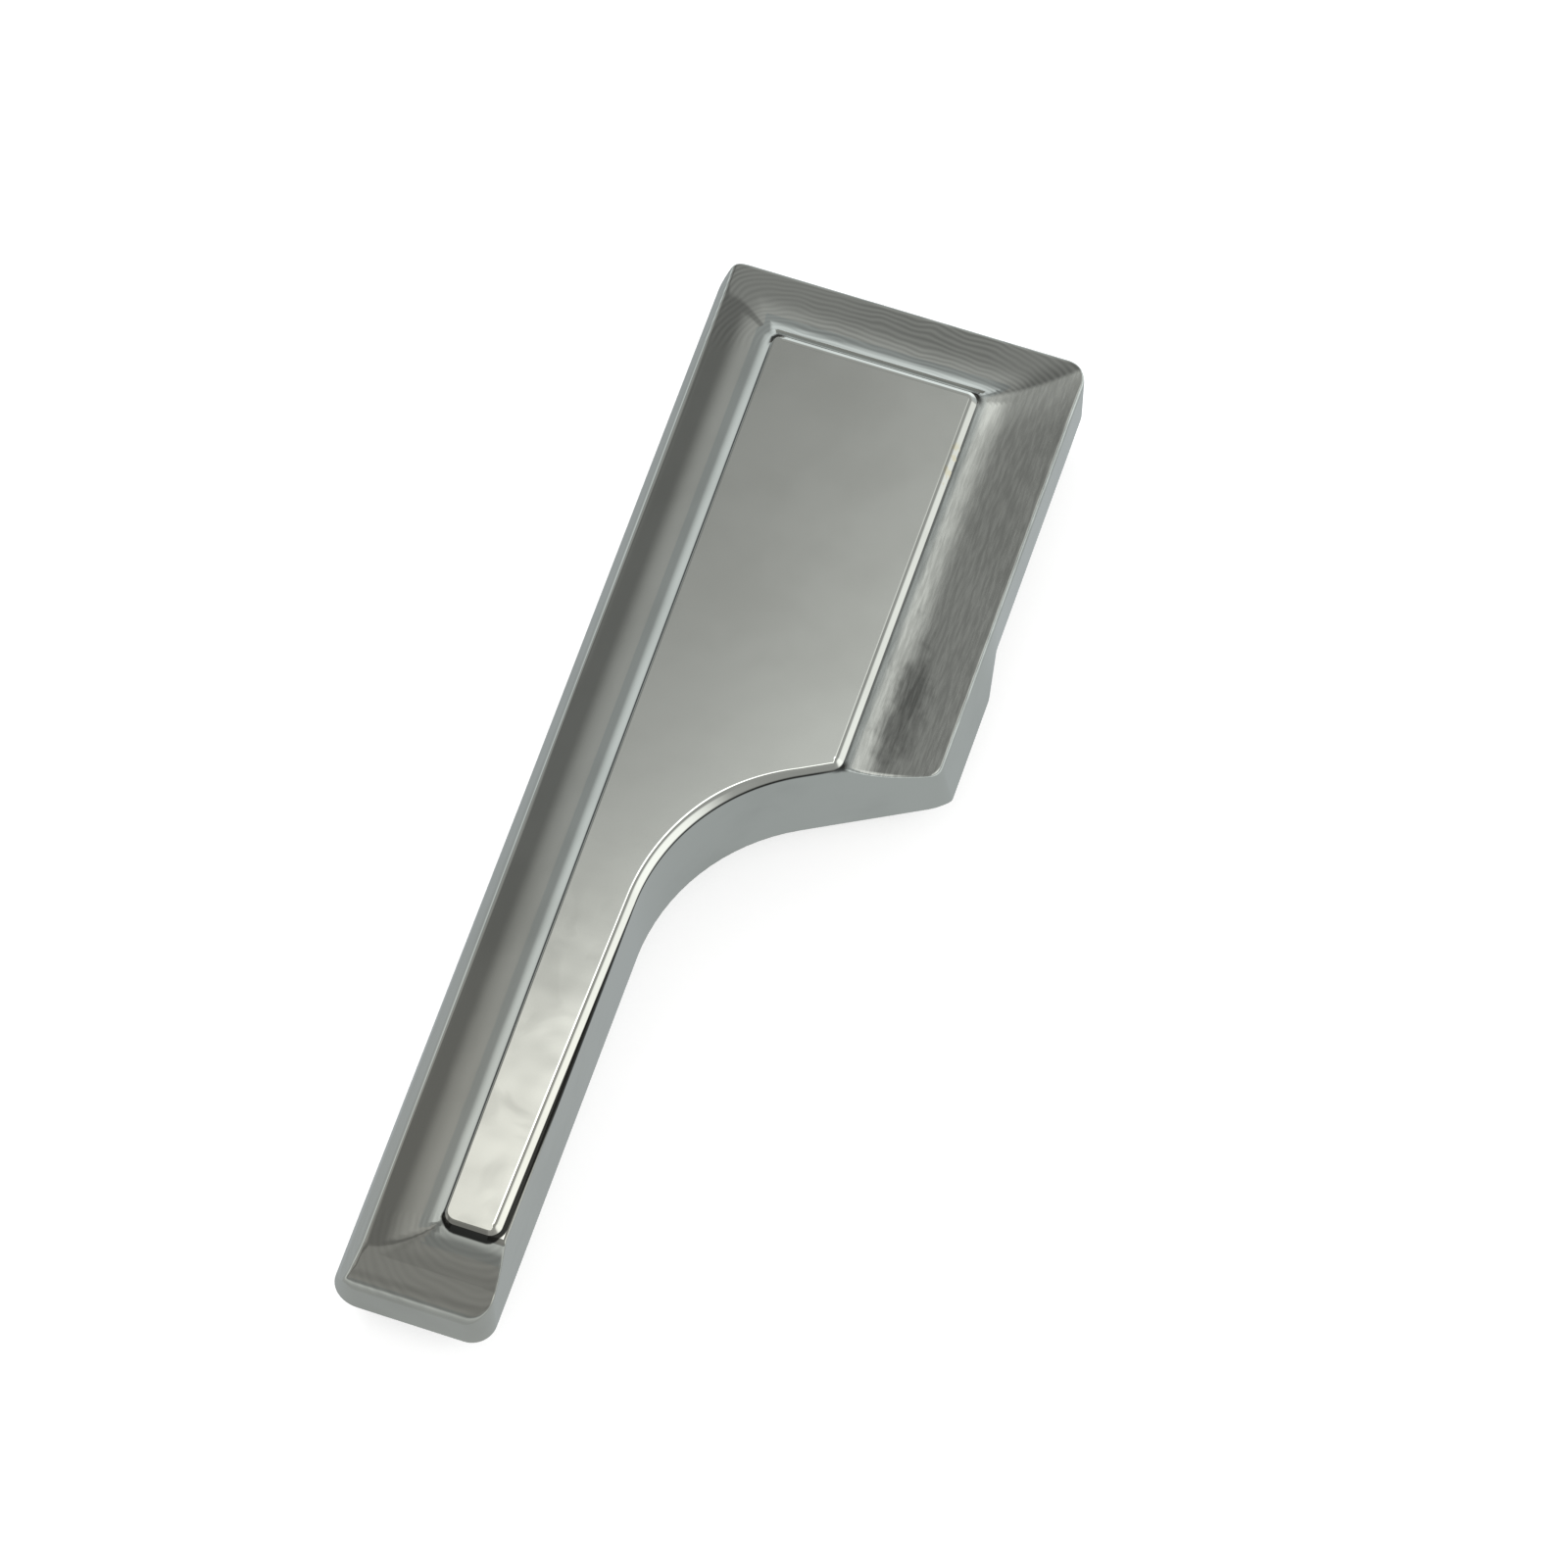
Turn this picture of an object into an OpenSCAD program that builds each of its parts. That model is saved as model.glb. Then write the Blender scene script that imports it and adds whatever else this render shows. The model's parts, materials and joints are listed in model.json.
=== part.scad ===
// Interior door handle of a car: a chromed die-cast pull lever that swings out
// on a pin in a folded steel bracket, and is brought back by a torsion spring.
// Millimetres. +Z is the lever's face, +Y runs from the tip of the arm to the
// head, +X points to the side with the finger notch. The bracket's underside is
// the door's mounting plane, z = 0, and the origin is under the middle of the box.

/* [Lever outline] */
// Length from the tip of the arm to the top of the head
lever_l = 140; // [120:1:180]
// Width of the head
head_w = 47.6; // [44:0.2:60]
// Width of the arm
arm_w = 20; // [18:0.5:24]
// Length of the head along its right side
head_l = 58; // [54:0.5:66]
// Slope of the notch wall from the head's corner towards the arm
notch_angle = 29; // [15:1:40]
// Radius of the finger notch where it runs into the arm
notch_r = 25; // [14:1:30]
// Corner radius of the outline
corner_r = 3; // [1.5:0.1:3.4]
// How far the skirt flares out beside the notch corner
flare = 1.2; // [0.4:0.1:2]
// Length of the flared skirt, with its run-out
flare_l = 22; // [12:1:30]

/* [Lever face] */
// Height of the lever over its rim
lever_h = 16.4; // [15.4:0.1:20]
// Height of the raised panel over the crease round it
panel_step = 0.9; // [0.5:0.1:1.4]
// Height of the bevels' outer edge over the rim
edge_h = 9.2; // [8.4:0.1:10]
// Radius of the hollow in the bevels
cove_r = 16; // [12:0.5:40]
// Width of the left bevel at the head
bevel_left = 11.2; // [9:0.1:12]
// How much wider the left bevel is at the tip
bevel_spread = 1; // [0:0.1:1.5]
// Width of the right bevel
bevel_right = 10.4; // [8:0.1:12]
// Width of the top bevel
bevel_top = 11.6; // [9:0.1:12]
// Width of the bevel at the tip
bevel_tip = 7.6; // [6:0.1:10]
// Width of the slanted strip along the left edge
strip_w = 2.4; // [1:0.1:3]
// Height of the slanted strip along the left edge
strip_h = 4; // [2:0.1:5]
// Radius of the roll at the tip
tip_roll = 3.4; // [1:0.1:4]
// Radius of the crisp edges at the top and the right
edge_roll = 0.6; // [0.3:0.1:1]
// How much the panel narrows along the arm
panel_taper = 0.9; // [0.3:0.1:1.5]

/* [Lever casting] */
// Thickness of the skirt round the head
wall = 2.4; // [1.8:0.1:2.8]
// Thickness of the skirt along the arm
arm_wall = 3.2; // [2.4:0.1:3.8]
// Thickness of the face
face_t = 2.4; // [1.8:0.1:2.8]
// Thickness of the ribs
rib_t = 1.6; // [1.2:0.1:2.2]
// Number of cross ribs in the arm
arm_ribs = 4; // [2:1:6]
// Thickness of the two pivot lugs
lug_t = 3; // [2:0.1:3.4]
// Clear width between the two pivot lugs
lug_gap = 13; // [12:0.5:14]
// Radius of the pivot boss
boss_r = 4.6; // [4.3:0.1:4.8]

/* [Pivot] */
// Distance from the top of the head to the pivot
pivot_back = 12.5; // [12:0.1:13.5]
// Height of the pivot over the mounting plane
pivot_z = 5.9; // [5.8:0.1:6.2]
// Gap between the mounting plane and the lever's rim
rim_gap = 0.4; // [0.3:0.1:1]
// Diameter of the hinge pin
pin_d = 4; // [3.2:0.1:4.2]
// Gap all round a part that turns on the pin
run_gap = 0.05; // [0.02:0.01:0.1]
// Gap all round a part that sits still in its hole
seat_gap = 0.02; // [0.01:0.01:0.05]
// Wall of the nylon bushes
bush_wall = 1; // [0.8:0.1:1.2]
// Thickness of the bushes' flange
flange_t = 0.8; // [0.6:0.1:1]
// Gap beside each flange
side_play = 0.2; // [0.1:0.05:0.3]

/* [Bracket] */
// Thickness of the bracket's sheet steel
sheet_t = 1.5; // [1.2:0.1:1.8]
// Height of the bracket's side flanges
side_h = 4; // [3:0.1:5]
// Length of the bracket in front of its first screw
bracket_nose = 8; // [7.6:0.1:9]
// Length of the bracket behind the pivot
bracket_back = 5.5; // [4.5:0.1:6]
// Distance between the two door screws
screw_pitch = 14; // [12:0.5:16]
// Diameter of the screw holes in the sheet
screw_hole_d = 5.4; // [5:0.1:6]
// Width across the flats of the weld nuts
nut_af = 8; // [7.6:0.1:8.4]
// Height of the weld nuts
nut_h = 4; // [3:0.1:4]
// Diameter of the nuts' thread, cut as a plain hole
thread_d = 4.2; // [3.8:0.1:4.4]

/* [Spring, stops and rod eye] */
// Diameter of the return spring's wire
wire_d = 1.2; // [0.8:0.1:1.4]
// Whole turns of the coil
coil_turns = 5; // [4:1:5]
// Diameter of the rubber stops
stop_d = 5; // [4:0.2:5.4]
// Gap between the stops and the closed lever
stop_gap = 0.2; // [0.1:0.05:0.3]
// Distance from the pivot to the eye for the latch rod
eye_arm = 13; // [12:0.5:14]
// Diameter of the latch rod
rod_d = 3; // [2.4:0.1:3.2]

/* [Hidden] */
$fn = 64;
far = 200;
over = 2;

// Where the lever's own outline sits: x from the left edge, y from the tip
outer_w = head_w + flare;
crease_h = lever_h - panel_step;
ceiling = lever_h - face_t;
bevel_skin = face_t * 0.8;
notch_y = lever_l - head_l;
notch_x = arm_w + notch_r;
notch_cy = notch_y - (notch_r + sin(notch_angle) * (head_w - notch_x)) / cos(notch_angle);
panel_right = head_w - bevel_right;
panel_top = lever_l - bevel_top;
spread_angle = atan(bevel_spread / (panel_top - bevel_tip));

// The pivot, and what is stacked along its pin, from the middle outwards
mid_x = head_w / 2;
pivot_y = lever_l - pivot_back;
lug_in = lug_gap / 2;
lug_out = lug_in + lug_t;
ear_in = lug_out + flange_t + side_play;
ear_out = ear_in + sheet_t;
ear_r = boss_r - 0.1;
bush_r = pin_d / 2 + run_gap + bush_wall;
flange_r = boss_r - 0.4;
pin_r = pin_d / 2;
pin_head_t = 1.2;
pin_head_r = pin_r + 1.4;
pin_end = ear_out + 2;
clip_t = 0.8;
groove_r = pin_r - 0.5;

// The bracket's window, its holes and what stands on it
eye_room = 5;
window_front = pivot_y - eye_arm - eye_room;
window_back = pivot_y + 3.8;
window_half = lug_out + 0.5;
nut_room = 3;
screw_y2 = window_front - nut_af / 2 - nut_room;
screw_y1 = screw_y2 - screw_pitch;
bracket_front = screw_y1 - bracket_nose;
stop_y = bracket_front + 3.6;
stop_x = ear_in - stop_d / 2 - 0.6;
stop_top = pivot_z + 0.6;
stop_stem_r = 1.6;
stop_chamfer = 0.8;
rib_depth = 5.4;

// The spring's foot lies on the sheet, and its arm passes beside the rod eye's web
foot_gap = 0.1;
coil_r = pivot_z - sheet_t - foot_gap - wire_d / 2;
coil_half = max(wire_d * 1.08 * coil_turns, lug_t + wire_d + 0.8) / 2;
spring_reach = pivot_y - window_front + 2.5;

// The rod eye stands upright over the spring's foot
eye_y = pivot_y - eye_arm;
eye_z = sheet_t + foot_gap + wire_d + flange_t + lug_t / 2 + 0.3;
eye_r = rod_d / 2 + run_gap;
eye_bush_r = eye_r + 0.8;
eye_boss_r = eye_bush_r + 1.2;
eye_web_t = 2.4;

// Puts what was drawn from the left edge and the tip over the origin
module to_origin() {
    translate([-outer_w / 2, -lever_l / 2, 0]) children();
}

// Draws children (x, z) as a bar along y
module along_y(from, to) {
    translate([0, to, 0]) rotate([90, 0, 0]) linear_extrude(to - from) children();
}

// Draws children (y, z) as a plate along x
module along_x(from, to) {
    translate([from, 0, 0]) rotate([90, 0, 90]) linear_extrude(to - from) children();
}

module disc_x(r, from, to) {
    translate([from, 0, 0]) rotate([0, 90, 0]) cylinder(h = to - from, r = r);
}

// The rectangle of the whole lever, with round corners
module blank_2d(inset) {
    r = max(corner_r - inset, 0.5);
    translate([inset + r, inset]) square([head_w - 2 * inset - 2 * r, lever_l - 2 * inset]);
    translate([inset, inset + r]) square([head_w - 2 * inset, lever_l - 2 * inset - 2 * r]);
    for (x = [inset + r, head_w - inset - r], y = [inset + r, lever_l - inset - r])
        translate([x, y]) circle(r);
}

// The room beside the arm that the fingers reach into, grown by inset
module notch_2d(inset) {
    r = notch_r + inset;
    translate([notch_x, notch_cy]) {
        circle(r);
        translate([-r, -far]) square([far, far]);
        rotate(notch_angle) translate([0, -far]) square([far, far + r]);
    }
}

// The tip's right corner, as a cutter that leaves it round
module tip_corner_2d() {
    translate([arm_w - corner_r, 0]) difference() {
        translate([0, -1]) square([corner_r + 1, corner_r + 1]);
        translate([0, corner_r]) circle(corner_r);
    }
}

module outline_2d(inset) {
    difference() {
        blank_2d(inset);
        notch_2d(inset);
    }
}

// Section of what is cut off along an edge, d inwards from the edge and z up from the
// rim: over the slant at the wall's top, which may bulge between two narrow flat lands,
// and over the hollow bevel
module edge_cut_2d(bevel, roll_w, roll_h, bulge = 0) {
    rise = crease_h - edge_h;
    run = bevel - roll_w;
    chord = norm([run, rise]);
    reach = sqrt(cove_r * cove_r - chord * chord / 4);
    top = crease_h + over;
    slant = roll_h / roll_w;
    land = 0.05;
    intersection() {
        translate([roll_w + run / 2 - rise / chord * reach, edge_h + rise / 2 + run / chord * reach])
            circle(cove_r, $fn = 160);
        translate([roll_w, 0]) square([run, top]);
    }
    difference() {
        polygon([[-over, edge_h - roll_h - over * slant], [roll_w, edge_h], [roll_w, top],
            [-over, top]]);
        if (bulge > 0) translate([roll_w / 2 + bulge, edge_h - roll_h / 2 - bulge])
            circle(norm([roll_w / 2 + bulge, roll_h / 2 - bulge]) - land);
    }
}

// Section of what the hollow leaves standing under an edge: everything over a slant
// that runs below the bevel at a wall's distance
module edge_keep_2d(bevel, roll_w) {
    rise = crease_h - edge_h;
    run = bevel - roll_w;
    chord = norm([run, rise]);
    sag = cove_r - sqrt(cove_r * cove_r - chord * chord / 4);
    skin = sag + bevel_skin;
    in_x = roll_w + rise / chord * skin;
    in_z = edge_h - run / chord * skin;
    slope = rise / run;
    polygon([[-over, in_z - (over + in_x) * slope], [in_x + (lever_h - in_z) / slope, lever_h],
        [-over, lever_h]]);
}

// Each of these lays children (d, z) along one edge. The left edge is turned a
// little, because its bevel grows towards the tip
module left_edge() {
    translate([bevel_left, panel_top, 0]) rotate(spread_angle) translate([-bevel_left, -panel_top, 0])
        along_y(-2 * over, lever_l + 2 * over) children();
}

module right_edge() {
    translate([head_w, 0, 0]) mirror([1, 0, 0]) along_y(notch_cy, lever_l + 2 * over) children();
}

module top_edge() {
    translate([0, lever_l, 0]) mirror([0, 1, 0]) along_x(-3 * over, head_w + 3 * over) children();
}

module tip_edge() {
    along_x(-3 * over, arm_w + over) children();
}

// Outline of the raised panel
module panel_2d() {
    difference() {
        polygon([[bevel_left + bevel_spread, bevel_tip], [arm_w - panel_taper, bevel_tip],
            [arm_w, notch_cy], [panel_right, notch_cy], [panel_right, panel_top],
            [bevel_left, panel_top]]);
        notch_2d(0);
    }
}

// Rounds the panel's top along the straight edge from p to q, with the panel on its left
module roll_cut(p, q) {
    v = q - p;
    translate([p[0], p[1], lever_h - panel_step]) rotate(atan2(v[1], v[0]))
        rotate([90, 0, 90]) translate([0, 0, -2]) linear_extrude(norm(v) + 4)
            difference() {
                translate([-1, 0]) square([panel_step + 1, panel_step + 1]);
                translate([panel_step, 0]) circle(panel_step);
            }
}

module panel() {
    notch_dir = [cos(notch_angle), sin(notch_angle)];
    notch_top = [notch_x - notch_r * notch_dir[1], notch_cy + notch_r * notch_dir[0]];
    notch_run = (panel_right - notch_top[0]) / notch_dir[0];
    corners = [[bevel_left + bevel_spread, bevel_tip], [arm_w - panel_taper, bevel_tip],
        [arm_w, notch_cy], notch_top, notch_top + notch_dir * notch_run,
        [panel_right, panel_top], [bevel_left, panel_top]];
    difference() {
        translate([0, 0, crease_h - 1]) linear_extrude(panel_step + 1) panel_2d();
        for (i = [0, 1, 3, 4, 5, 6]) roll_cut(corners[i], corners[(i + 1) % 7]);
        translate([notch_x, notch_cy, crease_h]) rotate_extrude($fn = 160)
            difference() {
                translate([notch_r - 1, 0]) square([panel_step + 1, panel_step + 1]);
                translate([notch_r + panel_step, 0]) circle(panel_step, $fn = 64);
            }
    }
}

// The skirt beside the notch corner leans out towards its rim and runs out along the head
module skirt_flare() {
    intersection() {
        along_y(notch_y - 5, notch_y + flare_l)
            polygon([[head_w - wall, 0], [head_w + flare, 0], [head_w, edge_h - edge_roll],
                [head_w - wall, edge_h - edge_roll]]);
        linear_extrude(edge_h)
            polygon([[head_w - wall, notch_y - wall * tan(notch_angle)],
                [head_w + flare, notch_y + flare * tan(notch_angle)],
                [head_w + flare, notch_y + flare_l * 0.7], [head_w, notch_y + flare_l],
                [head_w - wall, notch_y + flare_l]]);
    }
}

// The edges are cut one after the other, the tip first
module casting_face() {
    difference() {
        difference() {
            difference() {
                difference() {
                    linear_extrude(crease_h) difference() {
                        outline_2d(0);
                        tip_corner_2d();
                    }
                    tip_edge() edge_cut_2d(bevel_tip, tip_roll, tip_roll, tip_roll);
                }
                left_edge() edge_cut_2d(bevel_left, strip_w, strip_h);
            }
            right_edge() edge_cut_2d(bevel_right, edge_roll, edge_roll);
        }
        top_edge() edge_cut_2d(bevel_top, edge_roll, edge_roll);
    }
}

// The open back, deeper under the panel than under the bevels
module casting_hollow() {
    difference() {
        translate([0, 0, -1]) linear_extrude(ceiling + 1) difference() {
            outline_2d(wall);
            translate([arm_w - arm_wall, -1]) square([arm_wall, notch_cy + 1]);
            square([arm_wall, notch_cy]);
        }
        tip_edge() edge_keep_2d(bevel_tip, tip_roll);
        left_edge() edge_keep_2d(bevel_left, strip_w);
        right_edge() edge_keep_2d(bevel_right, edge_roll);
        top_edge() edge_keep_2d(bevel_top, edge_roll);
    }
}

// Side view of a pivot lug: a boss on the pin, a web and a rib along the face
module lug_2d() {
    z = pivot_z - rim_gap;
    translate([pivot_y, z]) circle(boss_r);
    polygon([[pivot_y + boss_r, z], [pivot_y + boss_r, ceiling + 1], [stop_y, ceiling + 1],
        [stop_y, ceiling - 3], [pivot_y - 2.4 * boss_r, ceiling - 3], [pivot_y - boss_r, z]]);
}

// A pad for the rod's upright bush, held by a web that hangs from the face behind it
module eye_lug() {
    pad_z = eye_z - rim_gap - lug_t / 2;
    web_y = eye_boss_r + 0.35;
    translate([mid_x, eye_y, pad_z]) {
        cylinder(h = lug_t, r = eye_boss_r);
        translate([-lug_t / 2, 0, 0]) cube([lug_t, web_y + eye_web_t, lug_t]);
        translate([-lug_t / 2, web_y, 0]) cube([lug_t, eye_web_t, ceiling + 1 - pad_z]);
    }
}

// Ribs, lugs and the stop bar that stand on the inside of the face
module casting_inside() {
    for (side = [-1, 1]) {
        near = mid_x + side * (lug_in + lug_t / 2);
        along_x(near - lug_t / 2, near + lug_t / 2) lug_2d();
    }
    eye_lug();
    bar_z = stop_top + stop_gap - rim_gap;
    translate([mid_x - lug_out, stop_y - rib_t, bar_z])
        cube([2 * lug_out, 2 * rib_t, ceiling + 1 - bar_z]);
    pitch = (notch_cy - bevel_tip) / arm_ribs;
    rib_z = edge_h - rib_depth;
    for (i = [1 : arm_ribs]) translate([1, bevel_tip + i * pitch - rib_t / 2, rib_z])
        cube([arm_w - 2, rib_t, ceiling + 1 - rib_z]);
}

// What stands inside sinks half into the casting's wall and doesn't show outside it
module inside_bound() {
    difference() {
        linear_extrude(crease_h - panel_step / 2) outline_2d(wall / 2);
        translate([0, 0, bevel_skin / 2]) {
            left_edge() edge_keep_2d(bevel_left, strip_w);
            right_edge() edge_keep_2d(bevel_right, edge_roll);
            top_edge() edge_keep_2d(bevel_top, edge_roll);
        }
    }
}

module lever() {
    color("silver") to_origin() translate([0, 0, rim_gap]) difference() {
        union() {
            difference() {
                casting_face();
                casting_hollow();
            }
            panel();
            skirt_flare();
            intersection() {
                casting_inside();
                inside_bound();
            }
        }
        translate([mid_x, pivot_y, pivot_z - rim_gap])
            disc_x(bush_r + seat_gap, -lug_out - 1, lug_out + 1);
        translate([mid_x, eye_y, eye_z - rim_gap])
            cylinder(h = lug_t + 1, r = eye_bush_r + seat_gap, center = true);
    }
}

// Section across the bracket: a channel with round bends and low flanges
module channel_2d() {
    bend = sheet_t + 0.4;
    flat_half = ear_in - bend + sheet_t;
    difference() {
        union() {
            translate([-ear_out, bend]) square([2 * ear_out, side_h - bend]);
            translate([-ear_out + bend, 0]) square([2 * (ear_out - bend), bend]);
            for (x = [-ear_out + bend, ear_out - bend]) translate([x, bend]) circle(bend);
        }
        translate([-ear_in, bend]) square([2 * ear_in, side_h]);
        translate([-flat_half, sheet_t]) square([2 * flat_half, side_h]);
        for (x = [-flat_half, flat_half]) translate([x, bend]) circle(bend - sheet_t);
    }
}

// An ear stands up from a flange, round the pin
module bracket_ear() {
    foot_z = sheet_t + 1;
    disc = [pivot_y, pivot_z];
    translate([0, disc[0], disc[1]]) disc_x(ear_r, ear_in, ear_out);
    along_x(ear_in, ear_out)
        polygon([[pivot_y - 2.2 * ear_r, foot_z], [pivot_y - 2.2 * ear_r, side_h],
            disc + ear_r * [-cos(30), sin(30)], disc, disc + [ear_r * 0.9, 0],
            [pivot_y + ear_r * 0.9, foot_z]]);
}

module hinge_bracket() {
    color("lightgoldenrodyellow") to_origin() difference() {
        translate([mid_x, 0, 0]) {
            along_y(bracket_front, pivot_y + bracket_back) channel_2d();
            bracket_ear();
            mirror([1, 0, 0]) bracket_ear();
        }
        translate([mid_x, pivot_y, pivot_z]) disc_x(pin_r + seat_gap, -ear_out - 1, ear_out + 1);
        translate([mid_x - window_half, window_front, -1])
            cube([2 * window_half, window_back - window_front, sheet_t + 2]);
        for (y = [screw_y1, screw_y2]) translate([mid_x, y, -1])
            cylinder(h = sheet_t + 2, d = screw_hole_d);
        for (side = [-1, 1]) translate([mid_x + side * stop_x, stop_y, -1])
            cylinder(h = sheet_t + 2, r = stop_stem_r + seat_gap);
    }
}

module hinge_pin() {
    color("gray") to_origin() translate([mid_x, pivot_y, pivot_z]) difference() {
        union() {
            disc_x(pin_r, -ear_out - 0.5, pin_end);
            disc_x(pin_head_r, -ear_out - seat_gap - pin_head_t, -ear_out - seat_gap);
        }
        difference() {
            disc_x(pin_r + 1, ear_out + seat_gap, ear_out + clip_t + 3 * seat_gap);
            disc_x(groove_r, ear_out - 1, pin_end + 1);
        }
    }
}

// Open retaining ring in the pin's groove
module pin_clip() {
    r = groove_r + seat_gap;
    color("dimgray") to_origin() translate([mid_x, pivot_y, pivot_z]) difference() {
        disc_x(pin_r + 1.5, ear_out + 2 * seat_gap, ear_out + 2 * seat_gap + clip_t);
        disc_x(r, ear_out, pin_end);
        translate([ear_out, -r * 0.8, -far]) cube([pin_end, 1.6 * r, far]);
    }
}

// Flanged nylon bush, with its flange outwards
module bush(side) {
    color("ivory") to_origin() translate([mid_x, pivot_y, pivot_z]) mirror([side < 0 ? 1 : 0, 0, 0])
        difference() {
            union() {
                disc_x(bush_r, lug_in, lug_out + flange_t);
                disc_x(flange_r, lug_out + seat_gap, lug_out + flange_t);
            }
            disc_x(pin_r + run_gap, 0, far);
        }
}

module left_bush() {
    bush(-1);
}

module right_bush() {
    bush(1);
}

// The spring's wire: a foot on the bracket, the coil round the pin, an arm under the face
spring_rise = ceiling + rim_gap - pivot_z - coil_r - wire_d / 2 - 2 * foot_gap;
lift_angle = atan(spring_rise / spring_reach);
turn_end = 90 - lift_angle + 360 * coil_turns;
steps_per_turn = 24;
coil_steps = steps_per_turn * coil_turns + 12;
function wire_turn(i) = -90 + (turn_end + 90) * i / coil_steps;
function out_dir(a) = [0, cos(a), sin(a)];
function coil_point(i) = coil_r * out_dir(wire_turn(i))
    + [coil_half * (2 * i / coil_steps - 1), 0, 0];
function wire_ring(p, a) = [for (k = [0 : 7])
    p + wire_d / 2 * (cos(45 * k) * out_dir(a) + [sin(45 * k), 0, 0])];
foot_end = coil_point(0) + [0, -spring_reach, 0];
arm_end = coil_point(coil_steps) + [0, -cos(lift_angle), sin(lift_angle)] * spring_reach;

module return_spring() {
    rings = concat([wire_ring(foot_end, -90)],
        [for (i = [0 : coil_steps]) wire_ring(coil_point(i), wire_turn(i))],
        [wire_ring(arm_end, turn_end)]);
    last = len(rings) - 1;
    points = [for (ring = rings) each ring];
    sides = [for (j = [0 : last - 1], k = [0 : 7])
        [8 * j + k, 8 * j + (k + 1) % 8, 8 * j + 8 + (k + 1) % 8, 8 * j + 8 + k]];
    caps = [[for (k = [7 : -1 : 0]) k], [for (k = [0 : 7]) 8 * last + k]];
    color("slategray") to_origin() translate([mid_x, pivot_y, pivot_z])
        polyhedron(points, concat(sides, caps), convexity = 10);
}

// Rubber buttons that the closed lever rests on
module bump_stops() {
    color("#222222") to_origin() for (side = [-1, 1])
        translate([mid_x + side * stop_x, stop_y, 0]) {
            translate([0, 0, 0.2]) cylinder(h = sheet_t, r = stop_stem_r);
            translate([0, 0, sheet_t]) cylinder(h = stop_top - sheet_t - stop_chamfer, d = stop_d);
            translate([0, 0, stop_top - stop_chamfer])
                cylinder(h = stop_chamfer, d1 = stop_d, d2 = stop_d - 2 * stop_chamfer);
        }
}

// Nylon bush in the lever's eye, for the bent end of the latch rod
module rod_bush() {
    color("ivory") to_origin() translate([mid_x, eye_y, eye_z]) difference() {
        union() {
            cylinder(h = lug_t + 2 * (flange_t + seat_gap), r = eye_bush_r, center = true);
            for (side = [-1, 1])
                translate([0, 0, side * ((lug_t + flange_t) / 2 + seat_gap)])
                    cylinder(h = flange_t, r = eye_boss_r - 0.2, center = true);
        }
        cylinder(h = far, r = eye_r, center = true);
    }
}

module weld_nuts() {
    color("lightgoldenrodyellow") to_origin() for (y = [screw_y1, screw_y2])
        translate([mid_x, y, sheet_t]) difference() {
            cylinder(h = nut_h, d = nut_af / cos(30), $fn = 6);
            translate([0, 0, -1]) cylinder(h = nut_h + over, d = thread_d);
        }
}

lever();
hinge_bracket();
hinge_pin();
pin_clip();
left_bush();
right_bush();
return_spring();
bump_stops();
rod_bush();
weld_nuts();
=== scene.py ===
# %% [markdown]
# # Interior door handle of a car
# The chromed lever is what people see and pull. Behind it, a small folded bracket
# carries the hinge pin, a return spring and two rubber stops. The exact shapes come
# ready made as a fixed frame, and this lesson dresses them: a camera, a quiet studio
# for the chrome to reflect, and materials with the marks of polishing and of use.

# %% Load the frame
import json
from math import cos, pi, radians, sin

import bmesh
import bpy
import numpy as np
from mathutils import Matrix, Vector
from mathutils.geometry import delaunay_2d_cdt


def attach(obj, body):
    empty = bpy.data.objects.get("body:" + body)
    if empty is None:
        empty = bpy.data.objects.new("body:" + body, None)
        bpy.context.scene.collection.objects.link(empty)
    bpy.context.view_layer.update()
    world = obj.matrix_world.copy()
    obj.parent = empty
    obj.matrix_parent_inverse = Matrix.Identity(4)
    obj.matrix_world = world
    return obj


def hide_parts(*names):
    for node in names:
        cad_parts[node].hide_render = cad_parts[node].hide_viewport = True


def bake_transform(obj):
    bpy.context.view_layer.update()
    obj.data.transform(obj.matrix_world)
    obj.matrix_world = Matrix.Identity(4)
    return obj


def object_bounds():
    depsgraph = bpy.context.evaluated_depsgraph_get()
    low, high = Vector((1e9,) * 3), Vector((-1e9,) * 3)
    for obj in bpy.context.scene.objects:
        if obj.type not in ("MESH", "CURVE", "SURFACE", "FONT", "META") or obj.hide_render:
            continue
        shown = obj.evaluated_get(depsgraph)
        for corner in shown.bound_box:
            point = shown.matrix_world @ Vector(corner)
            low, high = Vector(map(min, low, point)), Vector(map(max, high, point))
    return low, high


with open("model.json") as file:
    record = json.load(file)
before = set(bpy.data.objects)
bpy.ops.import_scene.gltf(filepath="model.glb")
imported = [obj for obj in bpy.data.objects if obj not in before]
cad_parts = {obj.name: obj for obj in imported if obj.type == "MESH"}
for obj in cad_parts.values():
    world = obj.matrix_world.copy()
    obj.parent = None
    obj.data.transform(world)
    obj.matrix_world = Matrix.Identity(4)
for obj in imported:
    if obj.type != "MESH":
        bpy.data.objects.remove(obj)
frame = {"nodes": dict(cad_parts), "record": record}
cad_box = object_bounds()
MM = 0.001
print("CAD box in mm:", [[round(v / MM, 1) for v in corner] for corner in cad_box])

# %% [markdown]
# ## Camera
# The photograph looks down on the face at 25 degrees from its normal, turned a little
# to the left. A long lens far away keeps the arm and the head almost in parallel. The
# three axes of the camera are written out, so that nothing has to be aimed by eye.

# %% Camera
TILT = radians(25)
TURN = radians(18.783)
DISTANCE = 900 * MM
SENSOR = 36.0
FRAME_PX = 1600
FOCAL_PX = 7774.3
AIM = Vector((-2.4, 5.0, 8.4)) * MM
AIM_PX = (730.58, 782.55)

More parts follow.
